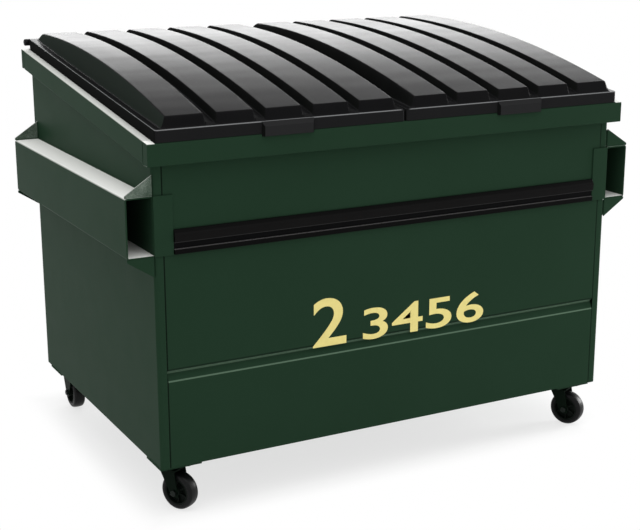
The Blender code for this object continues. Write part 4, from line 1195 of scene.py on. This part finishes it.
def start_tree(name, sizes):
    """A Geometry Nodes tree that takes a mesh and named sizes, with those inputs."""
    tree = bpy.data.node_groups.new(name, "GeometryNodeTree")
    tree.interface.new_socket("Geometry", in_out="INPUT", socket_type="NodeSocketGeometry")
    for size, value in sizes.items():
        kind = "NodeSocketInt" if isinstance(value, int) else "NodeSocketFloat"
        made = tree.interface.new_socket(size, in_out="INPUT", socket_type=kind)
        made.default_value = value
    tree.interface.new_socket("Geometry", in_out="OUTPUT", socket_type="NodeSocketGeometry")
    return tree, add_node(tree, "NodeGroupInput").outputs


def end_tree(tree, geometry, finish):
    """Ends a tree with its instances made real and its material set."""
    real = add_node(tree, "GeometryNodeRealizeInstances", {"Geometry": geometry})
    painted = add_node(tree, "GeometryNodeSetMaterial", {"Geometry": real, "Material": finish})
    add_node(tree, "NodeGroupOutput", {"Geometry": painted})
    return tree


def grown(name, base, tree, **sizes):
    """The plain mesh that a tree makes from a base mesh, with the tree's named sizes set first."""
    holder = added(name, base)
    growth = holder.modifiers.new(name, "NODES")
    growth.node_group = tree
    for item in tree.interface.items_tree:
        if item.in_out == "INPUT" and item.name in sizes:
            growth[item.identifier] = sizes[item.name]
    bpy.context.view_layer.update()
    return made_plain(holder)


def spoke_tree(finish):
    """Adds ribs round a hub, on both sides of its web, to the hub given as the base."""
    sizes = {"Count": 6, "Inner Radius": 0.014, "Outer Radius": 0.042, "Thickness": 0.0045, "Width": 0.034}
    tree, given = start_tree("hub_spokes", sizes)
    radii = {0: given["Outer Radius"], 1: given["Inner Radius"]}
    reach = add_node(tree, "ShaderNodeMath", radii, operation="SUBTRACT")
    sum_of_radii = add_node(tree, "ShaderNodeMath", radii, operation="ADD")
    middle = add_node(tree, "ShaderNodeMath", {0: sum_of_radii, 1: 0.5}, operation="MULTIPLY")
    size = add_node(tree, "ShaderNodeCombineXYZ", {0: given["Thickness"], 1: reach, 2: given["Width"]})
    rib = add_node(tree, "GeometryNodeMeshCube", {"Size": size, "Vertices X": 2, "Vertices Y": 6})
    # Each rib stands lower in the middle than at the boss and the rim, as it leaves the mould
    place = add_node(tree, "GeometryNodeInputPosition")
    outwards = add_node(tree, "ShaderNodeSeparateXYZ", {0: place}).outputs["Y"]
    run = add_node(tree, "ShaderNodeMath", {0: outwards, 1: reach}, operation="DIVIDE")
    squared = add_node(tree, "ShaderNodeMath", {0: run, 1: 2.0}, operation="POWER")
    dish = {"Value": squared, "From Max": 0.25, "To Min": 0.62, "To Max": 1.0}
    lower = add_node(tree, "ShaderNodeMapRange", dish)
    shape = add_node(tree, "ShaderNodeCombineXYZ", {0: 1.0, 1: 1.0, 2: lower})
    dished = add_node(tree, "ShaderNodeVectorMath", {0: place, 1: shape}, operation="MULTIPLY")
    shaped = add_node(tree, "GeometryNodeSetPosition", {"Geometry": rib, "Position": dished})
    circle = add_node(tree, "GeometryNodeMeshCircle", {"Vertices": given["Count"], "Radius": middle})
    index = add_node(tree, "GeometryNodeInputIndex")
    part_turn = add_node(tree, "ShaderNodeMath", {0: 2 * math.pi, 1: given["Count"]}, operation="DIVIDE")
    angle = add_node(tree, "ShaderNodeMath", {0: index, 1: part_turn}, operation="MULTIPLY")
    quarter = add_node(tree, "ShaderNodeMath", {0: angle, 1: math.pi / 2}, operation="SUBTRACT")
    turn = add_node(tree, "ShaderNodeCombineXYZ", {2: quarter})
    placing = {"Points": circle, "Instance": shaped, "Rotation": turn}
    placed = add_node(tree, "GeometryNodeInstanceOnPoints", placing)
    whole = add_node(tree, "GeometryNodeJoinGeometry", {0: given["Geometry"]})
    feed(tree, whole, {0: placed})
    return end_tree(tree, whole, finish)


plain_hub = turned(mirrored(hub_profile), Matrix(), steps=72, closed=True)
hub_mesh = grown("cast_hub", plain_hub, spoke_tree(hub_iron))
for caster, across_wheel in across_wheels.items():
    mesh = hub_mesh.copy()
    mesh.transform(across_wheel)
    fit(f"{caster}_cast_hub", mesh, hub_iron, f"{caster}_wheel", "hub_iron", f"{caster}_hub")

# Weld beads: hand-laid fillets about 5 mm wide, with the ripple that each stop of the torch leaves.
# They join the pockets, gussets, pads and lugs to the body, and were sprayed over with the same enamel.


def weld_tree(finish):
    """Turns lines into beads: a round profile whose radius ripples along each line."""
    tree, given = start_tree("weld_bead", {"Radius": 0.0026, "Step": 0.0016, "Pitch": 0.0042, "Ripple": 0.16})
    lines = add_node(tree, "GeometryNodeMeshToCurve", {"Mesh": given["Geometry"]})
    spacing = {"Curve": lines, "Length": given["Step"]}
    even = add_node(tree, "GeometryNodeResampleCurve", spacing, mode="LENGTH")
    run = add_node(tree, "GeometryNodeSplineParameter").outputs["Length"]
    beats = add_node(tree, "ShaderNodeMath", {0: run, 1: given["Pitch"]}, operation="DIVIDE")
    phase = add_node(tree, "ShaderNodeMath", {0: beats, 1: 2 * math.pi}, operation="MULTIPLY")
    wave = add_node(tree, "ShaderNodeMath", {0: phase}, operation="SINE")
    place = add_node(tree, "GeometryNodeInputPosition")
    unsteady = add_node(tree, "ShaderNodeTexNoise", {"Vector": place, "Scale": 60.0, "Detail": 1.0})
    wander = add_node(tree, "ShaderNodeMath", {0: unsteady, 1: 0.5}, operation="SUBTRACT")
    doubled = add_node(tree, "ShaderNodeMath", {0: wander, 1: 2.0}, operation="MULTIPLY")
    both = add_node(tree, "ShaderNodeMath", {0: wave, 1: doubled}, operation="ADD")
    share = add_node(tree, "ShaderNodeMath", {0: both, 1: given["Ripple"]}, operation="MULTIPLY")
    factor = add_node(tree, "ShaderNodeMath", {0: share, 1: 1.0}, operation="ADD")
    radius = add_node(tree, "ShaderNodeMath", {0: factor, 1: given["Radius"]}, operation="MULTIPLY")
    profile = add_node(tree, "GeometryNodeCurvePrimitiveCircle", {"Resolution": 8, "Radius": 1.0})
    sweep = {"Curve": even, "Profile Curve": profile, "Scale": radius, "Fill Caps": True}
    bead = add_node(tree, "GeometryNodeCurveToMesh", sweep)
    return end_tree(tree, add_node(tree, "GeometryNodeSetShadeSmooth", {"Geometry": bead}), finish)


weld_lines = []
pocket_low, pocket_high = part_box("right_fork_pocket")
upper_low, upper_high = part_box("right_front_upper_gusset")
lower_low, lower_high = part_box("right_front_lower_gusset")
gusset_wall = 0.005
# How far a bead's middle stands off the plate it runs along, and how far short of a gusset's end it stops
stand_off, stop_short = 0.0004, 0.004
wall_stand_off, pocket_stand_off, pad_sink = 0.0008, 0.0006, 0.0005
pocket_weld_inset, pad_weld_inset = 0.007, 0.025
lug_weld_high, lug_weld_low = hinge_z - 0.040, hinge_z + lug_low + 0.003
for side in (-1, 1):
    wall_x = side * (side_x + wall_stand_off)
    toe_x = side * (pocket_high.x - stop_short)
    near, far = pocket_low.y + pocket_weld_inset, pocket_high.y - pocket_weld_inset
    for level in (pocket_low.z - pocket_stand_off, pocket_high.z + pocket_stand_off):
        weld_lines.append(((wall_x, near, level), (wall_x, far, level)))
    for y in (pocket_low.y + gusset_wall + stand_off, pocket_high.y - gusset_wall - stand_off):
        for seat, tip, up in ((upper_low.z, upper_high.z, 1), (lower_high.z, lower_low.z, -1)):
            root = seat + up * stand_off
            weld_lines.append(((toe_x, y, root), (wall_x, y, root)))
            weld_lines.append(((wall_x, y, root + up * stop_short), (wall_x, y, tip - up * stop_short)))
for lug_x in lugs.values():
    for side in (-1, 1):
        x, y = lug_x + side * (lug_thickness / 2 + stand_off), rim_rear_y + stand_off
        weld_lines.append(((x, y, lug_weld_high), (x, y, lug_weld_low)))
for caster in casters:
    low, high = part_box(f"{caster}_caster_pad")
    near, far, z = low.y + pad_weld_inset, high.y - pad_weld_inset, high.z - pad_sink
    weld_lines += [((x, near, z), (x, far, z)) for x in (low.x, high.x)]
line_ends = [end for line in weld_lines for end in line]
line_mesh = bpy.data.meshes.new("weld_lines")
line_mesh.from_pydata(line_ends, [(start, start + 1) for start in range(0, len(line_ends), 2)], [])
beads = grown("weld_lines", line_mesh, weld_tree(body_enamel), Radius=0.0024)
fit("weld_beads", beads, body_enamel, "container", "green_paint")

# Caster bolts: four M10 hexagon bolts with washers hold each top plate to its pad, heads downwards.
# One bolt is modelled, and the tree sets a copy with a turn of its own at each hole.


def bolting_tree(bolt, finish):
    """Four bolts round each point of the base, each turned by chance about its own axis."""
    tree, given = start_tree("plate_bolts", {"Across": 0.080, "Along": 0.084})
    spacing = {"Vertices X": 2, "Vertices Y": 2, "Size X": given["Across"], "Size Y": given["Along"]}
    holes = add_node(tree, "GeometryNodeMeshGrid", spacing)
    pattern = add_node(tree, "GeometryNodeInstanceOnPoints", {"Points": given["Geometry"], "Instance": holes})
    laid_out = add_node(tree, "GeometryNodeRealizeInstances", {"Geometry": pattern})
    source = add_node(tree, "GeometryNodeObjectInfo", {"Object": bolt, "As Instance": True})
    turns = {0: (0.0, 0.0, 0.0), 1: (0.0, 0.0, math.pi / 3), "Seed": 7}
    chance = add_node(tree, "FunctionNodeRandomValue", turns, data_type="FLOAT_VECTOR")
    bolting = {"Points": laid_out, "Instance": source.outputs["Geometry"], "Rotation": chance}
    return end_tree(tree, add_node(tree, "GeometryNodeInstanceOnPoints", bolting), finish)


bolt_radius, bolt_height = 0.0085, 0.0036
washer_radius, washer_thickness, washer_chamfer = 0.0095, 0.0012, 0.0003
washer = [(0, 0), (washer_radius - washer_chamfer, 0), (washer_radius, washer_chamfer)]
washer += [(washer_radius, washer_thickness - washer_chamfer)]
washer += [(washer_radius - washer_chamfer, washer_thickness), (0, washer_thickness)]
downwards = Matrix.Rotation(math.pi, 4, "X")
bm = bmesh.new()
add_hexagon(bm, bolt_radius, washer_thickness, washer_thickness + bolt_height, downwards)
add_turned(bm, washer, downwards, steps=32)
bolt_model = added("plate_bolt", finished(bm))
plate_middles = []
for caster in casters:
    middle = middle_of(f"{caster}_caster_plate" if caster in swivel_casters else f"{caster}_caster_pad")
    plate_middles.append((middle.x, middle.y, plate_low))
point_mesh = bpy.data.meshes.new("plate_middles")
point_mesh.from_pydata(plate_middles, [], [])
tree = bolting_tree(bolt_model, road_zinc)
plate_bolts = grown("plate_middles", point_mesh, tree, Across=0.078, Along=0.078)
bpy.data.objects.remove(bolt_model)
fit("caster_plate_bolts", plate_bolts, road_zinc, "container", "zinc_steel")

# Numbers: plain digits in pale yellow on the front wall, painted through a stencil.
# Each group is drawn in a plain typeface, stretched to its place, and laid on the sheet as a thin film.

# Stencil paint: pale yellow, rolled on thin, so the green beneath dulls it a little in patches
stencil_paint, tree, surface, place = start_material("stencil_paint", "#E6D888", 0.55, specular=0.1)
_, tone = mottled(tree, place, 40.0, 5.0, "#DFD080", "#F2E494", 0.65)
feed(tree, surface, {"Base Color": tone, "Normal": rippled(tree, place, 420.0, 2.0, 0.0001)})

# Each group's lower left and upper right corners, as (x, z)
digits = {"2": ((-0.332, 0.496), (-0.203, 0.665)), "3456": ((-0.138, 0.493), (0.360, 0.606))}
paint_film = 0.0002
joined = bmesh.new()
for characters, (low, high) in digits.items():
    lettering = bpy.data.curves.new("digits", "FONT")
    lettering.body = characters
    lettering.offset = 0.012
    lettering.resolution_u = 8
    lettering.extrude = 0.01
    flat = made_plain(added("digits", lettering))
    xs = [vert.co.x for vert in flat.vertices]
    ys = [vert.co.y for vert in flat.vertices]
    wide = (high[0] - low[0]) / (max(xs) - min(xs))
    tall = (high[1] - low[1]) / (max(ys) - min(ys))
    for vert in flat.vertices:
        across_panel = low[0] + (vert.co.x - min(xs)) * wide
        up_panel = low[1] + (vert.co.y - min(ys)) * tall
        vert.co = (across_panel, front_y - paint_film if vert.co.z > 0 else front_y + paint_film, up_panel)
    joined.from_mesh(flat)
bmesh.ops.remove_doubles(joined, verts=joined.verts, dist=0.00001)
fit("stencilled_digits", finished(joined), stencil_paint, "container", None)

size = {"cad": [list(corner) for corner in cad_box], "visual": [list(corner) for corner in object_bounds()]}
